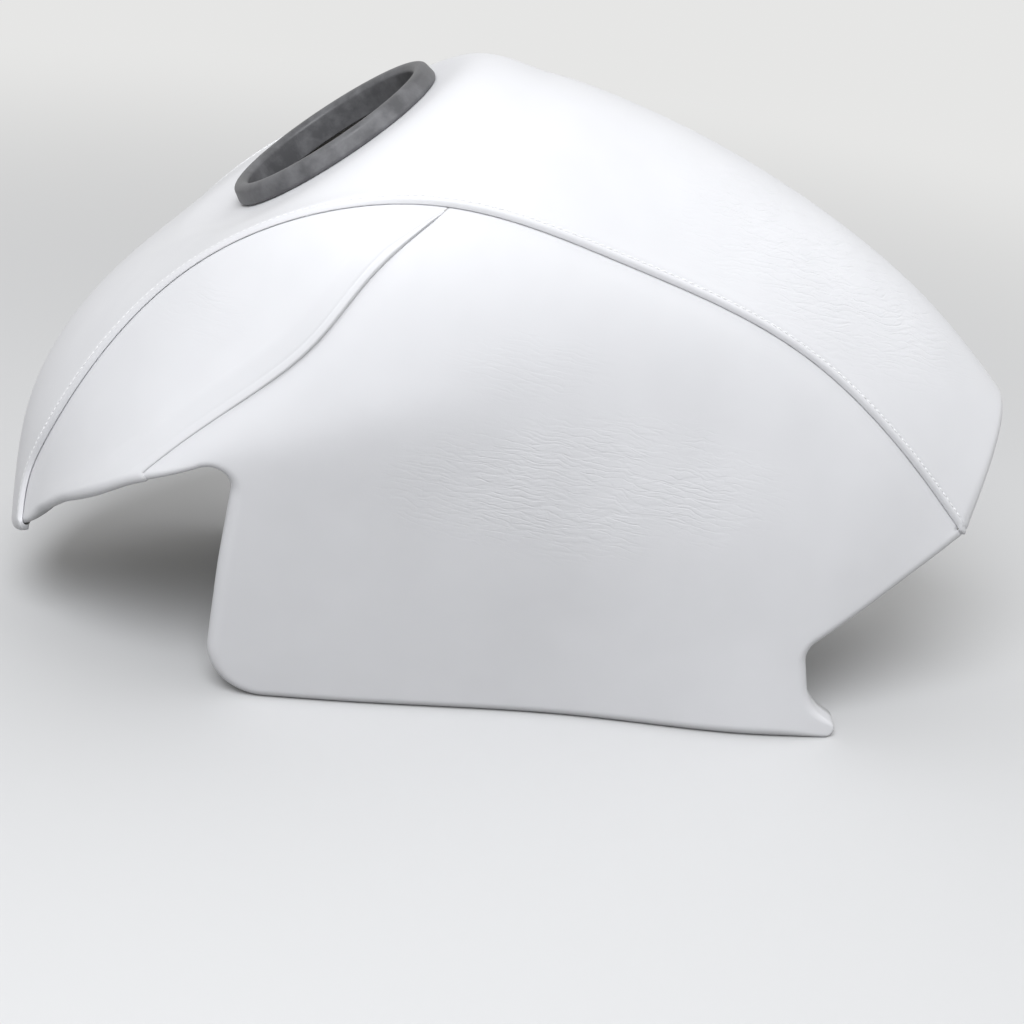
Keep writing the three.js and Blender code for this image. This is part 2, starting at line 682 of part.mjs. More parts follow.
// Side panel, left side
function sidePanel() {
  const front = withLengths(frontRulings);
  const rear = withLengths(rearRulings);
  front[0][1] = nearestOnOutline(shoulderSeamAt(hemT)) + edgeRow;
  rear[rear.length - 1][1] = outline.total - edgeRow;
  const lapEnds = frontColumns - lapEnd.length + 1;
  const stations = shoulderT.map((t, i) => {
    const f = (hemT - t) / hemT;
    const trimmed = i === 0 || i > lapEnds;
    return {
      length: lookUp(front, f, 1),
      bow: lookUp(front, f, 2),
      seam: (d, level) => sidePoint(besideShoulderSeam(t, d), level),
      trimmed,
    };
  });
  rearS.forEach((s, i) => {
    const f = i / rearColumns;
    const place = i ? s : s + 1 / seamStepS;
    stations.push({
      length: lookUp(rear, f, 1),
      bow: lookUp(rear, f, 2),
      seam: (d, level) => nearSeam(place, -1, d, level),
      trimmed: i === 0 || i === rearColumns,
    });
  });
  const hemAt = stations.map(({ length }) => hemStart(length));
  const column = (station, i, face) => {
    const under = face === "out" ? 0 : -vinyl;
    const first = station.seam(station.trimmed ? -edgeGap : tuckWidth, under);
    const second = station.seam(station.trimmed ? -edgeRow : 0, under);
    const points = [first, second];
    const seam = station.seam(station.trimmed ? -edgeRow : 0, 0);
    const hem = hemAt[i];
    for (let j = 1; j <= sideRows; j++) {
      const f = j / sideRows;
      const p = mix2(seam, hem.place, f);
      p.x += bowPeak * f * f * (1 - f) * station.bow;
      points.push(sidePoint(p, under));
    }
    const corner = smooth((outline.total - station.length) / cornerBlend);
    const lip = mix(lipAtCorner, hemLip, corner);
    const settle = restShift(hem);
    const turns = Array.from({ length: hemTurns }, (_, k) => ({ turn: (k + 1) / hemTurns, beyond: 0 }));
    for (const { turn, beyond } of [...turns, { turn: 1, beyond: lip }]) {
      const point = hemPoint(hem, turn, beyond, under);
      point.z += settle * turn;
      points.push(point);
    }
    return points;
  };
  const grid = (face) => stations.map((station, i) => column(station, i, face));
  return sheetSolid(grid("out"), grid("in"));
}
// What is left between a straight hem's lip and the height it rests at.
function restShift(hem) {
  return hem.edge.z > hemHeight + 0.01 ? 0 : hemHeight - hemPoint(hem, 1, 0, 0).z;
}

// Rubber collar that grips the edge of the filler opening, turned about the seat's normal
function fillerCollar() {
  const gripRadius = openingRadius - layerGap;
  const bore = gripRadius - collar.wall;
  const lip = openingRadius + collar.grip;
  const under = full - vinyl - layerGap;
  const over = full + layerGap;
  const { edge } = collar;
  const profile = [
    [bore, under - collar.below],
    [lip - edge, under - collar.below],
    [lip, under - collar.below + edge],
    [lip, under],
    [gripRadius, under],
    [gripRadius, over],
    [lip, over],
    [lip + edge / 2, over + edge],
    [lip - edge / 2, over + collar.rise - edge],
    [lip - 2 * edge, over + collar.rise],
    [bore + edge, over + collar.rise],
    [bore, over + collar.rise - edge],
    [bore, under - collar.below],
  ];
  const ring = turned(profile, collarSegments);
  ring.applyQuaternion(new THREE.Quaternion().setFromUnitVectors(new THREE.Vector3(0, 1, 0), fillerNormal));
  return ring.translate(fillerSeat.x, fillerSeat.y, fillerSeat.z);
}
// A closed profile of [radius, height] points turned about the Y axis
function turned(profile, segments) {
  return facingOut(indexed(new THREE.LatheGeometry(profile.map(([r, h]) => new THREE.Vector2(r, h)), segments)));
}
function indexed(geometry) {
  const bare = geometry.clone();
  bare.deleteAttribute("normal");
  bare.deleteAttribute("uv");
  return mergeVertices(bare, 1e-4);
}

// A strip of even thickness along a path of [a, b] points, `width` wide, as an extruded outline.
function strip(path, thickness, width) {
  const left = [];
  const right = [];
  path.forEach(([a, b], i) => {
    const before = path[Math.max(i - 1, 0)];
    const after = path[Math.min(i + 1, path.length - 1)];
    const run = new THREE.Vector2(after[0] - before[0], after[1] - before[1]).normalize();
    left.push(new THREE.Vector2(a - (run.y * thickness) / 2, b + (run.x * thickness) / 2));
    right.unshift(new THREE.Vector2(a + (run.y * thickness) / 2, b - (run.x * thickness) / 2));
  });
  const shape = new THREE.Shape([...left, ...right]);
  const geometry = new THREE.ExtrudeGeometry(shape, { depth: width, bevelEnabled: false });
  return geometry.translate(0, 0, -width / 2);
}
// Lays a strip drawn in (y, z) across the cover at x, or one drawn in (x, z) along it at y.
function acrossAt(geometry, x) {
  geometry.applyMatrix4(new THREE.Matrix4().set(0, 0, 1, x, 1, 0, 0, 0, 0, 1, 0, 0, 0, 0, 0, 1));
  return facingOut(indexed(geometry));
}
function alongAt(geometry, y) {
  geometry.applyMatrix4(new THREE.Matrix4().set(1, 0, 0, 0, 0, 0, 1, y, 0, 1, 0, 0, 0, 0, 0, 1));
  return facingOut(indexed(geometry));
}
// A plan outline given as [x, y] points with slots cut in it, between two heights.
function plate(points, slots, low, high) {
  const shape = new THREE.Shape(points.map(([x, y]) => new THREE.Vector2(x, y)));
  for (const [x0, y0, x1, y1] of slots) {
    shape.holes.push(new THREE.Path([[x0, y0], [x0, y1], [x1, y1], [x1, y0]].map((p) => new THREE.Vector2(...p))));
  }
  const geometry = new THREE.ExtrudeGeometry(shape, { depth: high - low, bevelEnabled: false });
  return facingOut(indexed(geometry.translate(0, 0, low)));
}
function box(x0, y0, z0, x1, y1, z1) {
  const geometry = new THREE.BoxGeometry(x1 - x0, y1 - y0, z1 - z0);
  return indexed(geometry.translate((x0 + x1) / 2, (y0 + y1) / 2, (z0 + z1) / 2));
}

// Straps: from the top of one hem's lip to a buckle bar at the centreline
const lipTop = hemHeight + vinyl;
const strapLow = lipTop + layerGap;
const strapMid = strapLow + strap.thickness / 2;
// Inner end of the flat lip at x, on the left side: the straps and patches start from there.
function lipEdgeY(x) {
  const hem = hemStart(nearestOnOutline({ x, z: hemHeight }));
  return hemPoint(hem, 1, hemLip, 0).y;
}
// Webbing that comes in from the left lip, goes round a bar and lies back on itself.
function strapPath(x, bar) {
  const start = lipEdgeY(x) - strap.overlap;
  const radius = (bar.size * Math.SQRT2) / 2 + layerGap + strap.thickness / 2;
  const back = strapMid + strap.thickness + layerGap;
  const leaves = bar.y - radius - strap.ease; // where the webbing leaves the height of the bar
  const path = [
    [start, strapMid],
    [leaves, strapMid],
  ];
  for (let k = 0; k <= bendSteps; k++) {
    const angle = -Math.PI / 2 + (Math.PI * k) / bendSteps;
    path.push([bar.y + radius * Math.cos(angle), bar.z + radius * Math.sin(angle)]);
  }
  path.push([leaves, back], [leaves - strap.turnBack, back]);
  return path;
}
function strapSolid(x, bar) {
  return acrossAt(strip(strapPath(x, bar), strap.thickness, strap.width), x);
}

// Patch sewn over the strap's end and onto the lip beside it
function patchSolid(x) {
  const low = strapLow + patch.thickness / 2;
  const high = low + strap.thickness + layerGap;
  const half = strap.width / 2 + layerGap + patch.thickness / 2;
  const foot = half + patch.step;
  const path = [
    [x - foot - patch.margin, low],
    [x - foot, low],
    [x - half, high],
    [x + half, high],
    [x + foot, low],
    [x + foot + patch.margin, low],
  ];
  const middle = lipEdgeY(x) - strap.overlap + patch.length / 2 + patch.inset;
  return alongAt(strip(path, patch.thickness, patch.length), middle);
}

// Side-release buckle at the front: bars at its two ends carry the webbing
const buckleZ = strap.clear + strap.thickness + layerGap + (buckle.bar * Math.SQRT2) / 2;
const plugBar = { y: -buckle.body / 2 - buckle.slot - buckle.bar / 2, z: buckleZ, size: buckle.bar };
const socketBar = { ...plugBar, y: -plugBar.y };
const jawY = -buckle.body / 2 + buckle.wall; // where plug and socket meet
const slotHalf = strap.width / 2 + 1;
function bucklePlug() {
  const half = buckle.width / 2;
  const [low, high] = [buckleZ - buckle.bar / 2, buckleZ + buckle.bar / 2];
  const outer = plugBar.y - buckle.bar / 2;
  const inner = half - buckle.wall - layerGap;
  const arm = inner - prong.width;
  const middle = prong.width / 2;
  const tip = jawY + prong.reach;
  const root = jawY + prong.root;
  const rightSide = [
    [half - buckle.corner, outer],
    [half, outer + buckle.corner],
    [half, jawY],
    [inner, jawY],
    [inner, tip - prong.neck],
    [inner + prong.barb, tip - prong.shoulder],
    [inner + prong.barb, tip - prong.cheek],
    [inner - prong.taper, tip],
    [arm, tip],
    [arm, root],
    [middle, root],
    [middle, tip - prong.shorter],
  ];
  const leftSide = rightSide.map(([x, y]) => [-x, y]).reverse();
  const slot = [-slotHalf, plugBar.y + buckle.bar / 2, slotHalf, plugBar.y + buckle.bar / 2 + buckle.slot];
  return plate([...rightSide, ...leftSide], [slot], low, high);
}
function buckleSocket() {
  const half = buckle.width / 2;
  const [barLow, barHigh] = [buckleZ - buckle.bar / 2, buckleZ + buckle.bar / 2];
  const [low, high] = [buckleZ - buckle.height / 2 + buckle.play, buckleZ + buckle.height / 2];
  const mouth = jawY + layerGap;
  const outer = socketBar.y + buckle.bar / 2;
  const inner = half - buckle.wall;
  const tip = jawY + prong.reach;
  const end = tip + layerGap + 2 * buckle.play;
  const body = box(-half, mouth, low, half, end + buckle.wall, high);
  const railPoints = [
    [-half, end],
    [half, end],
    [half, outer - buckle.corner],
    [half - buckle.corner, outer],
    [-half + buckle.corner, outer],
    [-half, outer - buckle.corner],
  ];
  const slot = [-slotHalf, socketBar.y - buckle.bar / 2 - buckle.slot, slotHalf, socketBar.y - buckle.bar / 2];
  const rail = plate(railPoints, [slot], barLow, barHigh);
  const cavity = box(-inner, mouth - buckle.wall, low + buckle.roof, inner, end, high - buckle.roof);
  const windowEnds = [tip - prong.neck - buckle.play, tip - prong.shorter];
  const windows = box(
    -buckle.width,
    windowEnds[0],
    barLow - buckle.play,
    buckle.width,
    windowEnds[1],
    barHigh + buckle.play,
  );
  return join(subtract(body, cavity, windows), rail);
}
function atX(geometry, x) {
  return geometry.translate(x, 0, 0);
}

// Ladder lock at the rear: a bar at each end for the webbing and one between them
const ladderBar = { y: -ladder.bar - ladder.slot, z: buckleZ, size: ladder.bar };
function rearBuckle() {
  const half = ladder.width / 2;
  const outer = -ladderBar.y + ladder.bar / 2;
  const { corner } = ladder;
  const points = [
    [-half + corner, -outer],
    [half - corner, -outer],
    [half, -outer + corner],
    [half, outer - corner],
    [half - corner, outer],
    [-half + corner, outer],
    [-half, outer - corner],
    [-half, -outer + corner],
  ];
  const inner = ladder.bar / 2;
  const slots = [
    [-slotHalf, -inner - ladder.slot, slotHalf, -inner],
    [-slotHalf, inner, slotHalf, inner + ladder.slot],
  ];
  return plate(points, slots, buckleZ - ladder.height / 2, buckleZ + ladder.height / 2);
}

// Rear tab: sewn inside the rear hem's lip, flat where its eyelets are
const tabAngle = THREE.MathUtils.degToRad(tab.slope);
const tabRun = new THREE.Vector3(-Math.sin(tabAngle), 0, -Math.cos(tabAngle));
const tabNormal = new THREE.Vector3(Math.cos(tabAngle), 0, -Math.sin(tabAngle));
const tabInside = full - vinyl - layerGap; // height of its outer face above the body
function rearLip(q, beyond, level) {
  const start = centre(hemRearS, q);
  const out = centreFrame(hemRearS, q).along;
  return hemPoint({ start, out, into: lipDirection(start), radius: hemRadius }, 1, beyond, level);
}
const tabRoot = rearLip(0, hemLip, tabInside);
const tabFlatStart = tabRoot.clone().addScaledVector(tabRun, tab.length - 2 * eyelet.fromEnd);
function rearTab() {
  const flatMiddle = tabFlatStart.clone().addScaledVector(tabRun, eyelet.fromEnd);
  const flatEnd = tabFlatStart.clone().addScaledVector(tabRun, 2 * eyelet.fromEnd);
  const grid = (depth) => {
    const all = [];
    for (let i = 0; i <= tabColumns; i++) {
      const y = mix(-0.5, 0.5, i / tabColumns) * tab.width;
      const q = y / halfWidth(seamAt(hemRearS).x, seamAt(hemRearS).z);
      const intoCorner = Math.max(0, 1 - (tab.width / 2 - Math.abs(y)) / tab.corner);
      const trim = tab.corner * (1 - Math.sqrt(1 - intoCorner ** 2));
      const flat = (point, back) =>
        point.clone().addScaledVector(tabNormal, -depth).addScaledVector(tabRun, -back).setY(y);
      all.push([
        rearLip(q, hemLip - tab.overlap, tabInside - depth),
        rearLip(q, hemLip, tabInside - depth),
        flat(tabFlatStart, 0),
        flat(flatMiddle, 0),
        flat(flatEnd, trim),
      ]);
    }
    return all;
  };
  const holes = [-1, 1].map((side) => onTab(side, cylinder(eyelet.hole / 2 + eyelet.wall + layerGap, eyelet.cut)));
  return subtract(sheetSolid(grid(0), grid(vinyl)), ...holes);
}
function cylinder(radius, height) {
  return indexed(new THREE.CylinderGeometry(radius, radius, height, eyeletSegments));
}
// Sets a piece drawn about the Y axis on the tab, at an eyelet's place; Y becomes the tab's normal.
function onTab(side, geometry) {
  const place = tabFlatStart.clone().addScaledVector(tabRun, eyelet.fromEnd).addScaledVector(tabNormal, -vinyl / 2);
  geometry.applyQuaternion(new THREE.Quaternion().setFromUnitVectors(new THREE.Vector3(0, 1, 0), tabNormal));
  return geometry.translate(place.x, (side * eyeletSpacing) / 2, place.z);
}
function eyeletSolid(side) {
  const bore = eyelet.hole / 2;
  const barrel = bore + eyelet.wall;
  const face = vinyl / 2 + layerGap;
  const foot = -face - eyelet.wall - layerGap;
  const top = face + eyelet.wall;
  const profile = [
    [bore, foot - eyelet.wall],
    [barrel, foot - eyelet.wall],
    [barrel, face],
    [eyelet.flange / 2, face],
    [eyelet.flange / 2 - eyelet.rounding, top],
    [bore + eyelet.rounding, top],
    [bore, top - eyelet.rounding],
    [bore, foot - eyelet.wall],
  ];
  return onTab(side, turned(profile, eyeletSegments));
}
function washerSolid(side) {
  const bore = eyelet.hole / 2 + eyelet.wall + layerGap;
  const face = -vinyl / 2 - layerGap;
  const profile = [
    [bore, face - eyelet.wall],
    [eyelet.flange / 2, face - eyelet.wall],
    [eyelet.flange / 2, face],
    [bore, face],
    [bore, face - eyelet.wall],
  ];
  return onTab(side, turned(profile, eyeletSegments));
}

const whiteVinyl = new THREE.MeshStandardMaterial({ color: 0xf2f2f3, roughness: 0.45 });
const blackRubber = new THREE.MeshStandardMaterial({ color: 0x3a3a3c, roughness: 0.7 });
const blackWebbing = new THREE.MeshStandardMaterial({ color: 0x1e1e20, roughness: 0.9 });
const blackAcetal = new THREE.MeshStandardMaterial({ color: 0x18181a, roughness: 0.45 });
const nickel = new THREE.MeshStandardMaterial({ color: 0xc9c9c6, roughness: 0.3, metalness: 1 });

const cover = new THREE.Group();
function add(name, geometry, material) {
  const mesh = new THREE.Mesh(geometry, material);
  mesh.name = name;
  cover.add(mesh);
}
function addPair(name, geometry, material) {
  add(name + "_left", geometry, material);
  add(name + "_right", mirrored(geometry), material);
}

add("centre_panel", centrePanel(), whiteVinyl);
addPair("shoulder_panel", shoulderPanel(), whiteVinyl);
addPair("side_panel", sidePanel(), whiteVinyl);
add("filler_collar", fillerCollar(), blackRubber);

addPair("front_strap", strapSolid(frontStrapX, plugBar), blackWebbing);
addPair("front_patch", patchSolid(frontStrapX), whiteVinyl);
add("front_buckle_plug", atX(bucklePlug(), frontStrapX), blackAcetal);
add("front_buckle_socket", atX(buckleSocket(), frontStrapX), blackAcetal);
addPair("rear_strap", strapSolid(rearStrapX, ladderBar), blackWebbing);
addPair("rear_patch", patchSolid(rearStrapX), whiteVinyl);
add("rear_buckle", atX(rearBuckle(), rearStrapX), blackAcetal);

add("rear_tab", rearTab(), whiteVinyl);
for (const [side, name] of [[-1, "left"], [1, "right"]]) {
  add("eyelet_" + name, eyeletSolid(side), nickel);
  add("eyelet_washer_" + name, washerSolid(side), nickel);
}

export default cover;
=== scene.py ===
# A fitted fuel tank cover: white leather-grain vinyl, lapped and top-stitched, on a pale floor.
# Lengths are millimetres while a piece is drawn; putMesh turns them into metres.
import math

import bmesh
import bpy
import numpy as np
from mathutils import Matrix, Vector, geometry


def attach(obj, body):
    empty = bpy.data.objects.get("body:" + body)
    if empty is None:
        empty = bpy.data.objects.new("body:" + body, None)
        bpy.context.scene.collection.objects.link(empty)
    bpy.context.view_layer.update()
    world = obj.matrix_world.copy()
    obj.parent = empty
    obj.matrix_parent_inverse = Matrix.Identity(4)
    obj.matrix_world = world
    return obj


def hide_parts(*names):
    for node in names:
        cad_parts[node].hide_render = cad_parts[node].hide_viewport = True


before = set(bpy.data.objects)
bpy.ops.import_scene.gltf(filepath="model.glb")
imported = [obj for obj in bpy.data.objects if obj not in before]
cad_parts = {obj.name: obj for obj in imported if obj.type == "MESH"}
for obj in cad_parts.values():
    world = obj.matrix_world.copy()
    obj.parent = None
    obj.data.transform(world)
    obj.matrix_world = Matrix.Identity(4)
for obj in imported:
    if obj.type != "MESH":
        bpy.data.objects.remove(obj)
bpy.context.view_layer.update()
print("frame loaded:", len(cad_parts), "nodes")

# The cover's own shape, as the frame has it

sheet = {
    "vinyl": 1.1,  # thickness
    "gap": 0.3,  # air between layers
    "foldReturn": 10,
    "tuck": 10,
    "hemRadius": 8,
    "frontHemRadius": 3.5,
    "hemLip": 14,
    "frontLip": 4,
    "lipAtCorner": 5,
    "liftRamp": 30,
    "cornerBlend": 25,
    "tipRadius": 2.6,  # the hem rolls on this radius at the rear tongue's tip
    "tipEase": 24,
}
full = 2 * (sheet["vinyl"] + sheet["gap"])  # a lapped panel stands this far above the body

body = {
    "seam": [  # x, half width, z of the main seam, front to rear
        (-277, 60, 71), (-276, 62, 92), (-264, 70, 128), (-222, 90, 204), (-150, 112, 275),
        (-62, 117, 302), (45, 106, 279.5), (150, 90, 236.5), (222, 78, 180), (272, 68, 126),
    ],
    "crown": [
        (-291, 50), (-290, 76), (-284.5, 124), (-235, 211.5), (-156, 273.5),
        (-65, 341.5), (45, 340.5), (150, 299.5), (237.5, 245), (295, 191),
    ],
    "fullness": 2.1,
    "sideStations": [-279, -222, -150, -62, 45, 150, 272],
    "shoulderRoll": [3, 8, 16, 20, 18, 12, 6],
    "rollDepth": 26,
    "flare": [0.22, 0.4, 0.22, 0.16, 0.12, 0.08, 0.02],
    "kneeStations": [-165, -60, 45, 150, 212, 272],
    "kneeWidth": [120, 114, 105, 110.5, 110, 90],
    "kneeLean": [0.2, 0.2, 0.14, 0.04, -0.035, 0],
    "kneeFront": -175,
    "ridgeSoftness": [2.2, 3.8, 8, 10, 9, 8],
    # the knee recess, shallower than the solids have it
    "dish": {"x": 20, "z": 110, "length": 110, "height": 75, "depth": 0.8},
    "bulge": {"z": 124, "height": 68, "rise": 4.0, "from": -60, "to": 250},  # and a soft fullness above it
    "junctionX": -49,
    "shoulderSeam": [(-84, 268), (-110, 230), (-147.5, 192.5), (-182, 161), (-214.5, 125)],
    "outline": [  # x, z, corner radius of the lower edge
        (-277, 71, 0), (-247, 103, 60), (-204.5, 135, 100), (-149, 160.5, 12), (-156.5, 90, 150),
        (-163, 0, 34), (225, 0, 10), (193.5, 20.5, 30), (185.5, 57, 12), (272, 126, 0),
    ],
    "filler": {"x": -118, "sink": 6, "flat": 76, "blend": 108, "opening": 62, "rearBlend": 1.45},
}


def naturalSpline(knots, values):
    knots = np.array(knots, float)
    values = np.array(values, float)
    count = len(knots)
    system = np.eye(count)
    right = np.zeros(count)
    for i in range(1, count - 1):
        h0 = knots[i] - knots[i - 1]
        h1 = knots[i + 1] - knots[i]
        system[i, i - 1:i + 2] = (h0, 2 * (h0 + h1), h1)
        right[i] = 6 * ((values[i + 1] - values[i]) / h1 - (values[i] - values[i - 1]) / h0)
    bend = np.linalg.solve(system, right)

    def at(t):
        t = np.asarray(t, float)
        inside = np.clip(t, knots[0], knots[-1])
        k = np.clip(np.searchsorted(knots, inside, side="left") - 1, 0, count - 2)
        h = knots[k + 1] - knots[k]
        a = (knots[k + 1] - inside) / h
        b = (inside - knots[k]) / h
        curve = ((a**3 - a) * bend[k] + (b**3 - b) * bend[k + 1]) * h * h / 6
        lean = ((1 - 3 * a * a) * bend[k] + (3 * b * b - 1) * bend[k + 1]) * h / 6
        slope = (values[k + 1] - values[k]) / h + lean
        return a * values[k] + b * values[k + 1] + curve + slope * (t - inside)

    return at


def runLengths(line):
    # how far along a flat line each of its points is
    return np.concatenate([[0], np.cumsum(np.hypot(*np.diff(line, axis=0).T))])


def chordKnots(points):
    knots = runLengths(np.array(points, float))
    return knots / knots[-1], knots[-1]


def flatCurve(knots, points):
    x = naturalSpline(knots, [p[0] for p in points])
    z = naturalSpline(knots, [p[1] for p in points])
    return lambda t: np.stack([x(t), z(t)], -1)


def smooth(f):
    t = np.clip(f, 0, 1)
    return t * t * (3 - 2 * t)


def unit(v):
    return v / np.maximum(np.linalg.norm(v, axis=-1, keepdims=True), 1e-12)


def mix(a, b, f):
    return a + (b - a) * f


seamX = [p[0] for p in body["seam"][1:]]
seamHeight = naturalSpline(seamX, [p[2] for p in body["seam"][1:]])
seamHalf = naturalSpline(seamX, [p[1] for p in body["seam"][1:]])
rollAt = naturalSpline(body["sideStations"], body["shoulderRoll"])
flareAt = naturalSpline(body["sideStations"], body["flare"])
kneeWidthAt = naturalSpline(body["kneeStations"], body["kneeWidth"])
kneeLeanAt = naturalSpline(body["kneeStations"], body["kneeLean"])
softnessAt = naturalSpline(body["kneeStations"], body["ridgeSoftness"])


def halfWidth(x, z):
    below = seamHeight(x) - z
    rolled = rollAt(x) * (1 - np.exp(-below / body["rollDepth"]))
    shoulder = seamHalf(x) + rolled + flareAt(x) * below
    kneeX = np.maximum(x, body["kneeFront"])
    dish = body["dish"]
    hollow = np.exp(-(((x - dish["x"]) / dish["length"]) ** 2) - ((z - dish["z"]) / dish["height"]) ** 2)
    knee = kneeWidthAt(kneeX) + kneeLeanAt(kneeX) * z - dish["depth"] * hollow
    soft = np.maximum(softnessAt(kneeX), 2)
    least = np.minimum(shoulder, knee)
    bulge = body["bulge"]
    alongBulge = smooth((x - bulge["from"]) / 90) * smooth((bulge["to"] - x) / 60)
    raised = bulge["rise"] * alongBulge * np.exp(-(((z - bulge["z"]) / bulge["height"]) ** 2))
    return least - soft * np.log(np.exp((least - shoulder) / soft) + np.exp((least - knee) / soft)) + raised


def widthSlope(p):
    x = p[..., 0]
    z = p[..., 1]
    alongX = halfWidth(x + 0.5, z) - halfWidth(x - 0.5, z)
    alongZ = halfWidth(x, z + 0.5) - halfWidth(x, z - 0.5)
    return alongX, alongZ


def sideNormal(p):
    alongX, alongZ = widthSlope(p)
    return unit(np.stack([-alongX, -np.ones_like(alongX), -alongZ], -1))


def sidePoint(p, level=0.0):
    point = np.stack([p[..., 0], -halfWidth(p[..., 0], p[..., 1]), p[..., 1]], -1)
    return point + sideNormal(p) * np.asarray(level)[..., None]


def onSide(p, direction):
    alongX, alongZ = widthSlope(p)
    across = -(alongX * direction[..., 0] + alongZ * direction[..., 1])
    return np.stack([direction[..., 0], across, direction[..., 1]], -1)


seamPoints = [(p[0], p[2]) for p in body["seam"]]
seamKnots, seamChord = chordKnots(seamPoints)
seamAt = flatCurve(seamKnots, seamPoints)
crownAt = flatCurve(seamKnots, body["crown"])


def arch(s, q):
    # s runs from front to rear, q across from -1 at the left seam to 1 at the right one
    seam = seamAt(s)
    high = crownAt(s)
    lean = (np.abs(q) ** body["fullness"])[..., None]
    p = mix(high, seam, lean)
    return np.stack([p[..., 0], q * halfWidth(seam[..., 0], seam[..., 1]), p[..., 1]], -1)


def whereX(curve, x, low, high):
    for _ in range(50):
        middle = (low + high) / 2
        if curve(middle)[0] < x:
            low = middle
        else:
            high = middle
    return (low + high) / 2


def one(x):
    return np.array(float(x))


fillerS = whereX(crownAt, body["filler"]["x"], 0.1, 0.9)
fillerAlong = unit(arch(one(fillerS + 0.05), one(0)) - arch(one(fillerS - 0.05), one(0)))
fillerNormal = np.array([-fillerAlong[2], 0, fillerAlong[0]])
fillerSeat = arch(one(fillerS), one(0)) - fillerNormal * body["filler"]["sink"]
fillerForward = np.array([fillerNormal[2], 0, -fillerNormal[0]])  # along the seat, towards the rear


def centre(s, q):
    point = arch(s, q)
    offset = point - fillerSeat
    above = offset @ fillerNormal
    radius = np.sqrt(np.maximum((offset**2).sum(-1) - above**2, 0))
    filler = body["filler"]
    rearward = np.clip((offset @ fillerForward) / np.maximum(radius, 1), 0, 1) ** 2
    blend = (filler["blend"] - filler["flat"]) * mix(1, filler["rearBlend"], rearward)
    flat = 1 - smooth((radius - filler["flat"]) / blend)
    return point - fillerNormal * (above * flat)[..., None]


def centreFrame(s, q):
    along = unit(centre(s + 0.001, q) - centre(s - 0.001, q))
    across = centre(s, q + 0.002) - centre(s, q - 0.002)
    reach = np.linalg.norm(across, axis=-1) / 0.004
    return along, unit(np.cross(along, across)), reach


def besideSeam(s, d, level):
    # on the centre surface, d millimetres in from its left edge
    reach = centreFrame(s, -np.ones_like(s))[2]
    q = -(1 - d / reach)
    return centre(s, q) + centreFrame(s, q)[1] * np.asarray(level)[..., None]


junctionS = whereX(seamAt, body["junctionX"], 0.1, 0.9)
shoulderPoints = [tuple(seamAt(one(junctionS)))] + body["shoulderSeam"]
shoulderKnots, shoulderLength = chordKnots(shoulderPoints)
shoulderSeamAt = flatCurve(shoulderKnots, shoulderPoints)


def besideShoulderSeam(t, d):
    # t runs down the seam from the junction; d is millimetres out from it, over the shoulder panel
    p = shoulderSeamAt(t)
    run = unit(shoulderSeamAt(t + 0.005) - p)
    out = np.stack([run[..., 1], -run[..., 0]], -1)
    stretch = np.linalg.norm(onSide(p, out), axis=-1)
    return p + out * (d / stretch)[..., None]


def roundedPath(corners, step):
    points = []
    for i, (x, z, radius) in enumerate(corners):
        here = np.array([x, z], float)
        if not radius:
            points.append(here)
            continue
        before = np.array(corners[i - 1][:2], float) - here
        after = np.array(corners[i + 1][:2], float) - here
        half = math.acos(float(unit(before) @ unit(after))) / 2
        reach = min(radius / math.tan(half), 0.49 * np.linalg.norm(before), 0.49 * np.linalg.norm(after))
        bend = reach * math.tan(half)
        start = here + unit(before) * reach
        end = here + unit(after) * reach
        middle = here + unit(unit(before) + unit(after)) * bend / math.sin(half)
        a0 = math.atan2(*(start - middle)[::-1])
        a1 = math.atan2(*(end - middle)[::-1])
        turn = (a1 - a0 + 3 * math.pi) % (2 * math.pi) - math.pi
        steps = max(2, math.ceil(abs(turn) * bend / step))
        for k in range(steps + 1):
            angle = a0 + turn * k / steps
            points.append(middle + bend * np.array([math.cos(angle), math.sin(angle)]))
    points = np.array(points)
    return points, runLengths(points)


outlinePoints, outlineLengths = roundedPath(body["outline"], 1.0)
outlineTotal = outlineLengths[-1]


def outlineAt(length):
    l = np.clip(length, 0, outlineTotal)
    x = np.interp(l, outlineLengths, outlinePoints[:, 0])
    z = np.interp(l, outlineLengths, outlinePoints[:, 1])
    return np.stack([x, z], -1)


def nearestOnOutline(p):
    lengths = np.arange(0, outlineTotal, 0.25)
    gaps = np.hypot(*(outlineAt(lengths) - np.asarray(p)).T)
    return float(lengths[np.argmin(gaps)])


def lipDirection(point):
    forward = np.maximum(0, -235 - point[..., 0])
    down = np.maximum(0, point[..., 2] - body["seam"][-1][2]) * smooth(point[..., 0] / 50)
    return unit(np.stack([forward, -point[..., 1], -down], -1))


def hemPoint(start, out, into, radius, turn, beyond, level):
    side = unit(into - out * (into * out).sum(-1, keepdims=True))
    full180 = np.arccos(np.clip((into * out).sum(-1), -1, 1))
    angle = (turn * full180)[..., None]
    outward = out * np.sin(angle) - side * np.cos(angle)
    radius = np.asarray(radius)[..., None]
    turned = start + out * radius * np.sin(angle) + side * radius * (1 - np.cos(angle))
    return turned + outward * np.asarray(level)[..., None] + into * np.asarray(beyond)[..., None]


frontHemEnd = nearestOnOutline((-172, 150))
tongueTip = nearestOnOutline(body["outline"][6][:2])
seamFront = unit(seamAt(one(0.02)) - seamAt(one(0)))
seamRear = unit(seamAt(one(0.98)) - seamAt(one(1)))


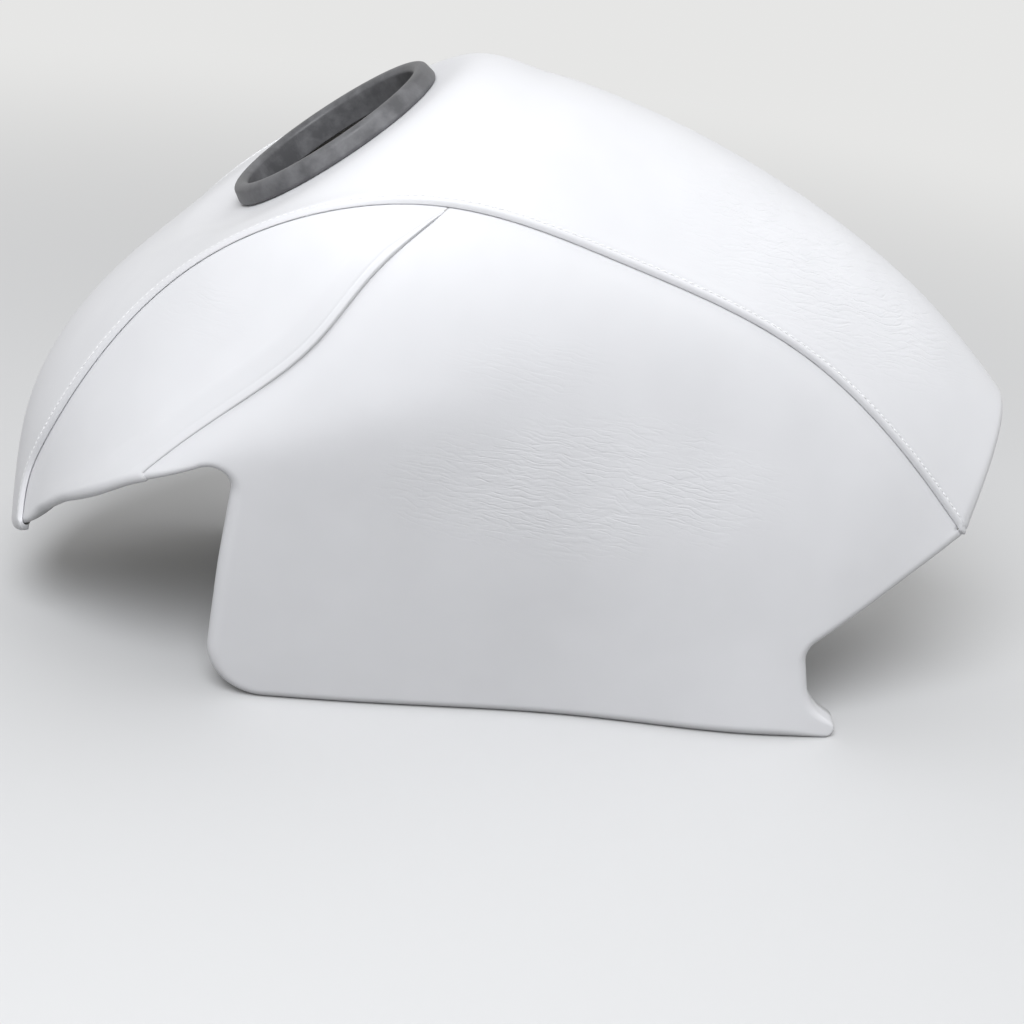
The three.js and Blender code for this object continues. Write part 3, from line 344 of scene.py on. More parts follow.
def hemStart(length):
    within = np.clip(length, 0, outlineTotal)
    past = length - within  # beyond an end the hem runs straight on, under the lap
    edge = outlineAt(within)
    run = unit(outlineAt(within + 2.5) - outlineAt(within - 2.5))
    inward = np.stack([-run[:, 1], run[:, 0]], -1)
    blend = sheet["cornerBlend"]
    inward = mix(seamFront, inward, smooth(length / blend)[:, None])
    inward = unit(mix(seamRear, inward, smooth((outlineTotal - length) / blend)[:, None]))
    radius = mix(sheet["frontHemRadius"], sheet["hemRadius"], smooth((length - frontHemEnd) / blend))
    nearTip = np.exp(-(((length - tongueTip) / sheet["tipEase"]) ** 2))
    radius = mix(radius, sheet["tipRadius"], nearTip)
    place = edge
    for _ in range(3):
        out = unit(onSide(place, -inward))
        into = lipDirection(sidePoint(place))
        inset = radius * (1 - (into * out).sum(-1))
        place = edge + inward * inset[:, None]
    start = sidePoint(place) + onSide(place, run) * past[:, None]
    return {"place": place, "start": start, "out": out, "into": into, "radius": radius, "edge": edge}


print("shape worked out")

# Meshes


def putMesh(name, points, faces, materials, mirrorY=False):
    points = np.array(points, float) / 1000
    if mirrorY:
        points = points * np.array([1, -1, 1])
        faces = [tuple(reversed(f)) for f in faces]
    mesh = bpy.data.meshes.new(name)
    mesh.from_pydata(points.tolist(), [], faces)
    for material in materials:
        mesh.materials.append(material)
    mesh.polygons.foreach_set("use_smooth", [True] * len(mesh.polygons))
    mesh.validate()
    piece = bpy.data.objects.new(name, mesh)
    bpy.context.scene.collection.objects.link(piece)
    return piece


def gridFaces(columns, rows, start=0):
    i = np.arange(columns - 1)[:, None] * rows + np.arange(rows - 1)[None, :] + start
    i = i.ravel()
    return np.stack([i, i + rows, i + rows + 1, i + 1], -1).tolist()


def backed(piece, thickness, shares=None):
    # the sheet grows inwards from its drawn face; its back and its cut edges are the knit
    thick = piece.modifiers.new("thickness", "SOLIDIFY")
    if shares is not None:
        group = piece.vertex_groups.new(name="share of thickness")
        for index, share in enumerate(shares):
            group.add([index], float(share), "REPLACE")
        thick.vertex_group = group.name
    thick.thickness = thickness / 1000
    thick.offset = -1
    thick.material_offset = 1
    thick.material_offset_rim = 1
    applyModifiers(piece)


def applyModifiers(piece):
    bpy.context.view_layer.update()
    graph = bpy.context.evaluated_depsgraph_get()
    made = bpy.data.meshes.new_from_object(piece.evaluated_get(graph))
    piece.modifiers.clear()
    old = piece.data
    piece.data = made
    bpy.data.meshes.remove(old)
    made.name = piece.name


def reworkMesh(mesh, edit):
    made = bmesh.new()
    made.from_mesh(mesh)
    edit(made)
    made.to_mesh(mesh)
    made.free()


def ridePiece(piece, slotName, *nodes):
    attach(piece, "root")
    if nodes:
        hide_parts(*nodes)
    return piece


# Materials


def linear(colour):
    parts = [int(colour[i:i + 2], 16) / 255 for i in (1, 3, 5)]
    return tuple(c / 12.92 if c <= 0.04045 else ((c + 0.055) / 1.055) ** 2.4 for c in parts) + (1,)


def addNode(tree, kind, inputs=None, **settings):
    made = tree.nodes.new("ShaderNode" + kind)
    for key, value in settings.items():
        setattr(made, key, value)
    for key, value in (inputs or {}).items():
        if isinstance(value, bpy.types.Node):
            value = value.outputs[0]
        if isinstance(value, bpy.types.NodeSocket):
            tree.links.new(value, made.inputs[key])
        else:
            made.inputs[key].default_value = value
    return made


def newMaterial(name):
    # its node tree, and places on the object in millimetres
    material = bpy.data.materials.new(name)
    material.use_nodes = True
    tree = material.node_tree
    tree.nodes.clear()
    where = addNode(tree, "TexCoord").outputs["Object"]
    return material, tree, addNode(tree, "VectorMath", {0: where, "Scale": 1000.0}, operation="SCALE")


def surfaced(material, surface):
    tree = material.node_tree
    shader = addNode(tree, "BsdfPrincipled", surface)
    addNode(tree, "OutputMaterial", {"Surface": shader})
    return material


def between(colours):
    # the two colours that a Mix node goes between
    return {6: linear(colours[0]), 7: linear(colours[1])}


vinylLook = {
    "colours": ("#e9e9eb", "#e0e0e2"),
    "shadeSize": 46,  # mm across a patch of either colour
    "roughness": (0.48, 0.57),
    "grainCell": 1.1,  # mm; real ones are nearer 0.7
    "grainDepth": 0.05,
    # worn crease fields: centre x, y, z, then half lengths, then strength
    "creases": [
        (42, -125, 156, 140, 60, 52, 1.0),
        (0, -125, 225, 60, 60, 26, 0.35),
        (165, -30, 272, 170, 80, 85, 1.5),
        (-150, -40, 300, 80, 50, 40, 0.5),
        (-175, -110, 232, 45, 40, 24, 0.35),
    ],
    "wornPatch": 16,  # mm across a more or less worn patch of a field
    # crease lines: squeeze along them, spacing in mm, tilt in degrees, start, share of the depth
    "longCrease": (0.12, 4.0, -9, 0.0, 1.0),
    "fineCrease": (0.28, 2.7, 5, 70.0, 0.55),
    "creaseLean": -16,  # degrees, so that the lines lie level on the sloping sides
    "creaseWander": (8.0, 20),  # mm aside, and over how many
    "creaseWidth": 0.15,  # half width, as a share of the spacing
    "creaseDepth": 0.088,
}


def creaseLines(tree, place, squeeze, spacing, tilt, start):
    # long thin cells that lie level round the body; their edges are the crease lines
    aside, over = vinylLook["creaseWander"]
    lean = math.radians(vinylLook["creaseLean"])
    noise = addNode(tree, "TexNoise", {"Vector": place, "Scale": 1 / over, "Detail": 2.0}).outputs["Color"]
    even = addNode(tree, "VectorMath", {0: noise, 1: (0.5, 0.5, 0.5)}, operation="SUBTRACT")
    wander = addNode(tree, "VectorMath", {0: even, "Scale": aside}, operation="SCALE")
    bent = addNode(tree, "VectorMath", {0: wander, 1: place}, operation="ADD")
    clear = addNode(tree, "VectorMath", {0: bent, 1: (500.0, 0.0, 500.0)}, operation="ADD")
    folded = addNode(tree, "VectorMath", {0: clear}, operation="ABSOLUTE")  # alike on both sides
    leant = addNode(tree, "VectorRotate", {"Vector": folded, "Angle": lean}, rotation_type="X_AXIS")
    tilted = addNode(tree, "VectorRotate", {"Vector": leant, "Angle": math.radians(tilt)},
                     rotation_type="Y_AXIS")
    long = addNode(tree, "VectorMath", {0: tilted, 1: (squeeze, squeeze, 1.0)}, operation="MULTIPLY")
    moved = addNode(tree, "VectorMath", {0: long, 1: (start, 0.0, 0.0)}, operation="ADD")
    cells = addNode(tree, "TexVoronoi", {"Vector": moved, "Scale": 1 / spacing, "Randomness": 1.0},
                    feature="DISTANCE_TO_EDGE")
    return addNode(tree, "MapRange", {0: cells.outputs["Distance"], 1: 0.0, 2: vinylLook["creaseWidth"]},
                   interpolation_type="SMOOTHSTEP")


def wornFields(tree, place):
    # where the vinyl is worn into creases, alike on both sides and patchy
    field = None
    for x, y, z, lengthX, lengthY, lengthZ, strength in vinylLook["creases"]:
        for side in (1, -1):
            off = addNode(tree, "VectorMath", {0: place, 1: (x, y * side, z)}, operation="SUBTRACT")
            off = addNode(tree, "VectorMath", {0: off, 1: (1 / lengthX, 1 / lengthY, 1 / lengthZ)},
                          operation="MULTIPLY")
            far = addNode(tree, "VectorMath", {0: off}, operation="LENGTH").outputs["Value"]
            inside = addNode(tree, "MapRange", {0: far, 1: 0.35, 2: 1.1, 3: strength, 4: 0.0},
                             interpolation_type="SMOOTHSTEP")
            field = addNode(tree, "Math", {0: field, 1: inside}, operation="MAXIMUM") if field else inside
    patch = vinylLook["wornPatch"]
    uneven = addNode(tree, "TexNoise", {"Vector": place, "Scale": 1 / patch, "Detail": 2.0})
    patchy = addNode(tree, "MapRange", {0: uneven, 1: 0.32, 2: 0.52, 3: 0.25, 4: 1.0})
    return addNode(tree, "Math", {0: field, 1: patchy}, operation="MULTIPLY")


def leatherVinyl():
    # PVC leatherette, calendered over an engraved roll: soft satin skin with pebbled grain and worn creases
    look = vinylLook
    material, tree, place = newMaterial("leather grain PVC vinyl")
    cells = addNode(tree, "TexVoronoi", {"Vector": place, "Scale": 1 / look["grainCell"],
                                         "Randomness": 0.9}, feature="DISTANCE_TO_EDGE")
    pebble = addNode(tree, "Math", {0: cells.outputs["Distance"], 1: 0.22, 2: 0.15}, operation="SMOOTH_MIN")
    creases = []
    for crease in (look["longCrease"], look["fineCrease"]):
        line = creaseLines(tree, place, *crease[:-1])
        creases.append(addNode(tree, "Math", {0: line, 1: crease[-1]}, operation="MULTIPLY"))
    creased = addNode(tree, "Math", {0: creases[0], 1: creases[1]}, operation="ADD")
    creased = addNode(tree, "Math", {0: creased, 1: wornFields(tree, place)}, operation="MULTIPLY")
    grain = addNode(tree, "Bump", {"Height": pebble, "Strength": 0.5,
                                   "Distance": look["grainDepth"] / 1000})
    folds = addNode(tree, "Bump", {"Height": creased, "Strength": 1.0,
                                   "Distance": look["creaseDepth"] / 1000, "Normal": grain})
    broad = addNode(tree, "TexNoise", {"Vector": place, "Scale": 1 / look["shadeSize"], "Detail": 2.0})
    tone = addNode(tree, "Mix", {0: broad, **between(look["colours"])}, data_type="RGBA")
    smoothest, roughest = look["roughness"]
    rough = addNode(tree, "MapRange", {0: broad, 1: 0.3, 2: 0.7, 3: smoothest, 4: roughest})
    return surfaced(material, {"Base Color": tone.outputs[2], "Roughness": rough, "Normal": folds,
                               "IOR": 1.52})


knitLook = {"colours": ("#b9b8b4", "#d2d1cd"), "roughness": 0.95}


def knitBacking():
    # polyester knit laminated to the vinyl's back: dull, with fine looped ribs
    material, tree, place = newMaterial("polyester knit backing")
    rib = addNode(tree, "TexWave", {"Vector": place, "Scale": 0.5, "Distortion": 1.5, "Detail": 2.0},
                  bands_direction="X")
    loop = addNode(tree, "TexWave", {"Vector": place, "Scale": 0.4, "Distortion": 1.0}, bands_direction="Z")
    both = addNode(tree, "Math", {0: rib, 1: loop}, operation="MULTIPLY")
    tone = addNode(tree, "Mix", {0: both, **between(knitLook["colours"])}, data_type="RGBA")
    bump = addNode(tree, "Bump", {"Height": both, "Strength": 0.7, "Distance": 0.0003})
    return surfaced(material, {"Base Color": tone.outputs[2], "Normal": bump,
                               "Roughness": knitLook["roughness"]})


threadLook = {"colours": ("#f0f0f0", "#fdfdfd"), "roughness": 0.5}


def bondedThread():
    # bonded polyester sewing thread: twisted plies with a slight sheen
    material, tree, place = newMaterial("bonded polyester thread")
    ply = addNode(tree, "TexWave", {"Vector": place, "Scale": 1.2, "Distortion": 0.6},
                  bands_direction="DIAGONAL")
    tone = addNode(tree, "Mix", {0: ply, **between(threadLook["colours"])}, data_type="RGBA")
    bump = addNode(tree, "Bump", {"Height": ply, "Strength": 0.5, "Distance": 0.00008})
    return surfaced(material, {"Base Color": tone.outputs[2], "Normal": bump,
                               "Roughness": threadLook["roughness"]})


rubberLook = {"colours": ("#535355", "#717173"), "roughness": (0.42, 0.62)}


def mouldedRubber():
    # EPDM, compression moulded: matt dark grey with a bloom of handling marks
    material, tree, place = newMaterial("moulded EPDM rubber")
    fine = addNode(tree, "TexNoise", {"Vector": place, "Scale": 1.6, "Detail": 4.0})
    worn = addNode(tree, "TexNoise", {"Vector": place, "Scale": 0.06, "Detail": 5.0, "Roughness": 0.65})
    share = addNode(tree, "MapRange", {0: worn, 1: 0.4, 2: 0.68})
    tone = addNode(tree, "Mix", {0: share, **between(rubberLook["colours"])}, data_type="RGBA")
    smoothest, roughest = rubberLook["roughness"]
    rough = addNode(tree, "MapRange", {0: share, 3: smoothest, 4: roughest})
    bump = addNode(tree, "Bump", {"Height": fine, "Strength": 0.3, "Distance": 0.0002})
    return surfaced(material, {"Base Color": tone.outputs[2], "Normal": bump, "Roughness": rough})


webbingLook = {"colours": ("#0e0e10", "#2a2a2c"), "roughness": 0.62}


def wovenWebbing():
    # polypropylene webbing, woven on a narrow loom: ribs across the strap, slightly glossy yarn
    material, tree, place = newMaterial("woven polypropylene webbing")
    across = addNode(tree, "TexWave", {"Vector": place, "Scale": 0.16}, bands_direction="X")
    along = addNode(tree, "TexWave", {"Vector": place, "Scale": 0.26}, bands_direction="Y")
    weave = addNode(tree, "Math", {0: across, 1: along}, operation="MAXIMUM")
    tone = addNode(tree, "Mix", {0: weave, **between(webbingLook["colours"])}, data_type="RGBA")
    bump = addNode(tree, "Bump", {"Height": weave, "Strength": 0.8, "Distance": 0.0005})
    return surfaced(material, {"Base Color": tone.outputs[2], "Normal": bump,
                               "Roughness": webbingLook["roughness"]})


acetalLook = {"colours": ("#131315", "#1d1d1f"), "roughness": 0.38}


def mouldedAcetal():
    # acetal, injection moulded in a lightly etched tool: black with a waxy satin
    material, tree, place = newMaterial("moulded black acetal")
    fine = addNode(tree, "TexNoise", {"Vector": place, "Scale": 3.0, "Detail": 3.0})
    tone = addNode(tree, "Mix", {0: fine, **between(acetalLook["colours"])}, data_type="RGBA")
    bump = addNode(tree, "Bump", {"Height": fine, "Strength": 0.25, "Distance": 0.0001})
    return surfaced(material, {"Base Color": tone.outputs[2], "Normal": bump,
                               "Roughness": acetalLook["roughness"]})


nickelLook = {"colours": ("#b9b6ae", "#cfccc5"), "roughness": (0.16, 0.34)}


def nickelPlate():
    # bright nickel on stamped brass: warm grey mirror dulled by handling
    material, tree, place = newMaterial("nickel plated brass")
    fine = addNode(tree, "TexNoise", {"Vector": place, "Scale": 0.9, "Detail": 4.0})
    tone = addNode(tree, "Mix", {0: fine, **between(nickelLook["colours"])}, data_type="RGBA")
    smoothest, roughest = nickelLook["roughness"]
    rough = addNode(tree, "MapRange", {0: fine, 3: smoothest, 4: roughest})
    return surfaced(material, {"Base Color": tone.outputs[2], "Roughness": rough, "Metallic": 1.0})


vinyl = leatherVinyl()
knit = knitBacking()
thread = bondedThread()
rubber = mouldedRubber()
webbing = wovenWebbing()
acetal = mouldedAcetal()
nickel = nickelPlate()
print("materials made")

# Centre panel

seamLook = {
    "stitchFrom": 4.5,  # stitch line, in from the folded edge
    "stitchPitch": 4.2,
    "stitchLength": 3.1,
    "threadRadius": 0.36,
    # (in from the nose, share of a full lap's height) from the folded edge's underside to its top
    "nose": [(1.4, 0.107), (0.7, 0.12), (0.25, 0.18), (0.03, 0.29), (0.12, 0.4), (0.4, 0.55), (0.75, 0.72),
             (1.1, 0.87), (1.45, 0.99), (1.8, 1.08)],
    "puff": 0.5,  # the fold stands up between its nose and the stitches
    "groove": 0.38,  # and the stitches pull it down
    "valley": 0.9,  # hollow beside the shoulder panel's lap, deepest at this share of its length
    "valleyAt": 0.4,
    "valleyWidth": 7.0,
}


def relief(d):
    # height of a stitched lap's top above its plain level, d mm in from the nose
    stitch = seamLook["stitchFrom"]
    puff = seamLook["puff"] * np.exp(-(((d - 2.9) / 1.2) ** 2))
    groove = -seamLook["groove"] * np.exp(-(((d - stitch) / 0.8) ** 2))
    after = 0.5 * seamLook["puff"] * np.exp(-(((d - stitch - 2.4) / 2.2) ** 2))
    return puff + groove + after


foldDistances = [2.2, 2.6, 3.1, 3.6, 4.0, 4.4, 4.8, 5.2, 5.8, 6.6, 7.6, 9.0, 10.5, 13.0, 16.0]


def foldRows(returnWidth):
    # (distance from the nose, level) from the end of the return, round the nose and onto the top
    rows = [(returnWidth, sheet["gap"]), (returnWidth / 2, sheet["gap"])]
    rows += [(d, share * full) for d, share in seamLook["nose"]]
    rows += [(d, full + float(relief(d))) for d in foldDistances]
    return rows


hemFrontS = 0.02 * sheet["frontHemRadius"] / np.linalg.norm(seamAt(one(0.02)) - seamAt(one(0)))
hemRearS = 1 - 0.02 * sheet["hemRadius"] / np.linalg.norm(seamAt(one(1)) - seamAt(one(0.98)))
centreGrid = {"columns": 250, "rows": 74, "hemTurns": 9, "seatReach": 40}  # mm from the filler seat


def openedForFiller(points, faces):
    # cells inside the filler opening go, and its edge is drawn onto a circle
    opening = body["filler"]["opening"]
    offset = points - fillerSeat
    above = offset @ fillerNormal
    flatOffset = offset - above[:, None] * fillerNormal
    radius = np.linalg.norm(flatOffset, axis=1)
    radius[np.abs(above) > centreGrid["seatReach"]] = 1e6
    kept = [f for f in faces if radius[list(f)].mean() > opening + 0.4]
    uses = {}
    for f in kept:
        for a, b in zip(f, f[1:] + f[:1]):
            edge = (min(a, b), max(a, b))
            uses[edge] = uses.get(edge, 0) + 1
    rim = {v for edge, count in uses.items() if count == 1 for v in edge if radius[v] < opening + 8}
    rim = np.array(sorted(rim))
    points[rim] += flatOffset[rim] * ((opening + 0.2) / radius[rim] - 1)[:, None]
    used = sorted({v for f in kept for v in f})
    where = {v: i for i, v in enumerate(used)}
    return points[used], [tuple(where[v] for v in f) for f in kept]


def centrePanel():
    edge = foldRows(sheet["foldReturn"])
    inner = foldDistances[-1]
    rows = [(-1, d, level) for d, level in edge]
    rows += [(0, f, full) for f in np.linspace(-1, 1, centreGrid["rows"] + 2)[1:-1]]
    rows += [(1, d, level) for d, level in reversed(edge)]
    sides = np.array([r[0] for r in rows])
    along = np.array([r[1] for r in rows])
    levels = np.array([r[2] for r in rows])

    def rowQ(s):
        reachLeft = centreFrame(s, -np.ones_like(s))[2][:, None]
        fromSide = sides[None, :] * (1 - along[None, :] / reachLeft)
        plain = along[None, :] * (1 - inner / reachLeft)
        return np.where(sides[None, :] == 0, plain, fromSide)

    def ring(s):
        q = rowQ(s)
        ss = np.broadcast_to(s[:, None], q.shape)
        return centre(ss, q), centreFrame(ss, q)

    def hem(s, front, turn, beyondShare):
        q = rowQ(np.array([s]))
        ss = np.full_like(q, s)
        start = centre(ss, q)
        out = centreFrame(ss, q)[0] * (-1 if front else 1)
        radius = np.full(q.shape, sheet["frontHemRadius"] if front else sheet["hemRadius"])
        longest = sheet["frontLip"] if front else sheet["hemLip"]
        atCorner = 0.5 if front else sheet["lipAtCorner"]
        lip = mix(longest, atCorner, np.where(sides == 0, np.abs(along) ** 8, 1))
        beyond = np.broadcast_to(lip * beyondShare, q.shape)
        return hemPoint(start, out, lipDirection(start), radius, np.full(q.shape, turn), beyond,
                        np.broadcast_to(levels, q.shape))[0]

    turns = centreGrid["hemTurns"]
    rolled = [(k / turns, 0.0) for k in range(1, turns + 1)] + [(1.0, 0.5), (1.0, 1.0)]
    columns = [hem(hemFrontS, True, turn, beyond) for turn, beyond in reversed(rolled)]
    s = np.linspace(hemFrontS, hemRearS, centreGrid["columns"])
    points, (_, normals, _) = ring(s)
    columns.extend(points + normals * levels[None, :, None])
    columns += [hem(hemRearS, False, turn, beyond) for turn, beyond in rolled]
    grid = np.array(columns)
    points, faces = openedForFiller(grid.reshape(-1, 3), gridFaces(*grid.shape[:2]))
    piece = putMesh("cover_centre_panel", points, faces, [vinyl, knit])
    backed(piece, sheet["vinyl"])
    return piece


centrePiece = ridePiece(centrePanel(), "white_vinyl", "centre_panel")
print("centre panel made:", len(centrePiece.data.polygons), "faces")

# Shoulder panels


def insideHem(p):
    length = nearestOnOutline(p)
    hem = hemStart(np.array([length]))
    place = hem["place"][0]
    out = hem["out"][0]
    return (p[0] - place[0]) * out[0] + (p[1] - place[1]) * out[2] > 0


def findHemT():
    t = 1.0
    while t > 0 and insideHem(shoulderSeamAt(one(t))):
        t -= 0.002
    return t


hemT = findHemT()
hemEnd = nearestOnOutline(shoulderSeamAt(one(hemT)))
shoulderGrid = {
    "columns": 130,
    "rows": 44,
    "hemTurns": 8,
    "blendColumns": 12,  # over these the rows turn from the hem to the rulings
    "reliefShare": 0.15,  # its puffed edge, as a share of the main seam's
    "lapTop": 0.78,  # share of a full lap's height near the junction
    "lapLow": 0.36,  # and at the hem, where the photo shows a thin line
    "lapFree": 13,  # mm over which its lap comes out from under the main seam's
    "frontRun": [(-7.0, -0.4), (-3.0, -0.3)],  # tucked rows: mm past the hem's front end, and level
    "tipShare": 0.15,  # of the thickness is left where the sheet turns twice
    "tipReach": (10, 16),  # mm from the tip, and over how many it comes back
}


def lapScale(t):
    return mix(shoulderGrid["lapTop"], shoulderGrid["lapLow"], smooth((t - 0.3) / 0.4))


def shoulderHem(edge):
    # where each row meets the hem: its length along the outline, and its level
    seamRun = unit(shoulderSeamAt(one(hemT - 0.02)) - shoulderSeamAt(one(hemT)))
    hemRun = unit(outlineAt(hemEnd - 2) - outlineAt(hemEnd))
    meeting = abs(seamRun[0] * hemRun[1] - seamRun[1] * hemRun[0])
    inner = foldDistances[-1]
    lapStart = hemEnd - inner / meeting
    scale = float(lapScale(hemT))
    rows = list(shoulderGrid["frontRun"])
    for j in range(shoulderGrid["rows"]):
        f = j / shoulderGrid["rows"]
        length = mix(1.5, lapStart, f)
        fromLap = inner + (1 - f) * lapStart * meeting
        away = 1 - smooth((fromLap - sheet["foldReturn"]) / sheet["liftRamp"])
        rows.append((length, full * scale * away * smooth(length / sheet["foldReturn"])))
    for d, level in edge:
        length = hemEnd - sheet["gap"] - d * mix(scale, 1, smooth(d / 3)) / meeting
        rows.append((length, min(level, full) * scale))
    return np.array(rows).T


def shoulderPanel(name, mirrorY):
    look = shoulderGrid
    share = np.linspace(0, 1, look["columns"])
    s = mix(hemFrontS, junctionS - 1 / seamChord, share)
    t = mix(hemT, 0.2 / shoulderLength, share)
    top = seamAt(s)
    width = np.linalg.norm(top - shoulderSeamAt(t), axis=1)
    inner = foldDistances[-1]
    squeeze = np.minimum(1, 0.45 * width / inner)
    lift = smooth(t * shoulderLength / look["lapFree"])
    scale = lapScale(t)
    edge = foldRows(sheet["foldReturn"])[::-1]
    innerRow = besideShoulderSeam(t, inner * squeeze)
    lengths, levels = shoulderHem(edge)
    hem = hemStart(lengths)
    lip = mix(sheet["lipAtCorner"], sheet["hemLip"], smooth(lengths / sheet["cornerBlend"]))
    fromHem = smooth(np.arange(look["columns"]) / look["blendColumns"])
    rows = []
    shares = []

    def ontoHem(p, level):
        row = len(rows)
        p = p + (hem["place"][row] - p[0]) * (1 - fromHem)[:, None]
        return sidePoint(p, mix(levels[row], level, fromHem))

    for d in (sheet["tuck"], sheet["tuck"] / 2):
        rows.append(besideSeam(s, np.full_like(s, d), np.full_like(s, -0.2)))
        shares.append(np.ones_like(s))
    for j in range(look["rows"]):
        f = j / look["rows"]
        p = mix(top, innerRow, f)
        fromSeam = f * width
        fromLap = (1 - f) * width + inner * squeeze
        away = 1 - smooth((fromLap - sheet["foldReturn"]) / sheet["liftRamp"])
        level = full * scale * lift * away * smooth(fromSeam / sheet["foldReturn"])
        rows.append(ontoHem(p, level))
        shares.append(mix(1, scale, away))
    for d, level in edge:
        p = besideShoulderSeam(t, d * squeeze * mix(scale, 1, smooth(d / 3)))
        plain = min(level, full) + look["reliefShare"] * max(level - full, 0)
        rows.append(ontoHem(p, scale * (full * lift + (plain - full) * mix(0.35, 1, lift))))
        shares.append(scale)
    grid = np.stack(rows, 1)
    flat = hem["start"] + sideNormal(hem["place"]) * levels[:, None]
    for i in range(2):  # the tucked rows start from the hem's own run past the corner
        grid[:, i] = mix(flat[i], grid[:, i], fromHem[:, None])
    turns = look["hemTurns"]
    ends = []
    for turn, beyond in [(1, 1.0), (1, 0.5)] + [(k / turns, 0.0) for k in range(turns, 0, -1)]:
        ends.append(hemPoint(hem["start"], hem["out"], hem["into"], hem["radius"],
                             np.full_like(lengths, turn), lip * beyond, levels))
    grid = np.array(ends + list(grid))
    shares = np.stack(shares, 1)
    shares = np.concatenate([np.repeat(shares[:1], len(ends), 0), shares])
    fromTip = np.linalg.norm(grid - sidePoint(seamAt(one(hemFrontS))), axis=-1)
    near, over = look["tipReach"]
    shares = shares * mix(look["tipShare"], 1, smooth((fromTip - near) / over))
    piece = putMesh(name, grid.reshape(-1, 3), gridFaces(*grid.shape[:2]), [vinyl, knit], mirrorY=mirrorY)
    return piece, shares.ravel()


for name, side in (("left", False), ("right", True)):
    piece, shares = shoulderPanel("cover_shoulder_panel_" + name, side)
    middle = piece.data.polygons[len(piece.data.polygons) // 2]
    if middle.normal.y * (1 if side else -1) < 0:
        piece.data.flip_normals()
    backed(piece, sheet["vinyl"], shares)
    ridePiece(piece, "white_vinyl", "shoulder_panel_" + name)
print("shoulder panels made")

# Side panels

sideGrid = {
    "spacing": 2.9,
    "edgeStep": 2.4,
    "offsets": [1.1, 2.3, 3.6, 5.0, 6.5, 8.2],  # rows beside the seams
    "hemOffsets": [1.5, 3.2],  # and beside the hem
    "clear": 4.6,  # the lattice keeps this far from any edge
    "hemTurns": 10,
}


def toPolyline(points, line):
    # distance to a polyline, and how far along it the nearest point is
    best = np.full(len(points), 1e9)
    along = np.zeros(len(points))
    lengths = runLengths(line)
    for i in range(len(line) - 1):
        a = line[i]
        run = line[i + 1] - a
        size = run @ run
        f = np.clip(((points - a) @ run) / size, 0, 1)
        gap = np.hypot(*(points - a - f[:, None] * run).T)
        nearer = gap < best
        best = np.where(nearer, gap, best)
        along = np.where(nearer, lengths[i] + f * math.sqrt(size), along)
    return best, along


def insidePolygon(points, polygon):
    inside = np.zeros(len(points), bool)
    x, z = points.T
    for i in range(len(polygon)):
        x0, z0 = polygon[i - 1]
        x1, z1 = polygon[i]
        crosses = (z0 > z) != (z1 > z)
        at = (x1 - x0) * (z - z0) / (z1 - z0 if z1 != z0 else 1e-9) + x0
        inside ^= crosses & (x < at)
    return inside


def evenly(curve, start, end, step):
    fine = np.linspace(start, end, 2000)
    points = curve(fine)
    lengths = runLengths(points)
    count = max(2, int(round(lengths[-1] / step)) + 1)
    return np.interp(np.linspace(0, lengths[-1], count), lengths, fine)


def inwardFrom(line):
    run = unit(np.gradient(line, axis=0))
    return np.stack([run[:, 1], -run[:, 0]], -1)


def sheetPoints(loop, seams, hemLine):
    # the edge, rows beside it, then an even lattice over the rest
    closed = np.concatenate([loop, loop[:1]])
    parts = [loop]
    for line, offsets in ((seams, sideGrid["offsets"]), (hemLine, sideGrid["hemOffsets"])):
        for offset in offsets:
            row = line + inwardFrom(line) * offset
            gap, _ = toPolyline(row, closed)
            parts.append(row[(gap > 0.93 * offset) & insidePolygon(row, loop)])
    spacing = sideGrid["spacing"]
    x0, z0 = loop.min(0)
    x1, z1 = loop.max(0)
    lattice = []
    for i, z in enumerate(np.arange(z0, z1, spacing * math.sqrt(3) / 2)):
        xs = np.arange(x0 + (i % 2) * spacing / 2, x1, spacing)
        lattice.append(np.stack([xs, np.full_like(xs, z)], -1))
    lattice = np.concatenate(lattice)
    lattice = lattice[insidePolygon(lattice, loop)]
    gap, _ = toPolyline(lattice, closed)
    lattice = lattice[gap > sideGrid["clear"]]
    gap, _ = toPolyline(lattice, seams)
    parts.append(lattice[gap > sideGrid["offsets"][-1] + 1.4])
    return np.concatenate(parts)


def besideLaps(flat, shoulderLine, mainLine):
    # how far the sheet is pulled down beside the shoulder lap and, less, beside the main seam
    gap, along = toPolyline(flat, shoulderLine)
    t = along / shoulderLength
    strength = smooth((along - 6) / 40) * (0.2 + 0.8 * np.exp(-(((t - seamLook["valleyAt"]) / 0.22) ** 2)))
    level = -seamLook["valley"] * strength * np.exp(-(((gap - 3.0) / seamLook["valleyWidth"]) ** 2))
    level *= smooth(gap / 1.5 + 0.35)
    gap, _ = toPolyline(flat, mainLine)
    return level - 0.35 * np.exp(-(((gap - 2.5) / 4.0) ** 2)) * smooth((flat[:, 0] + 30) / 40)


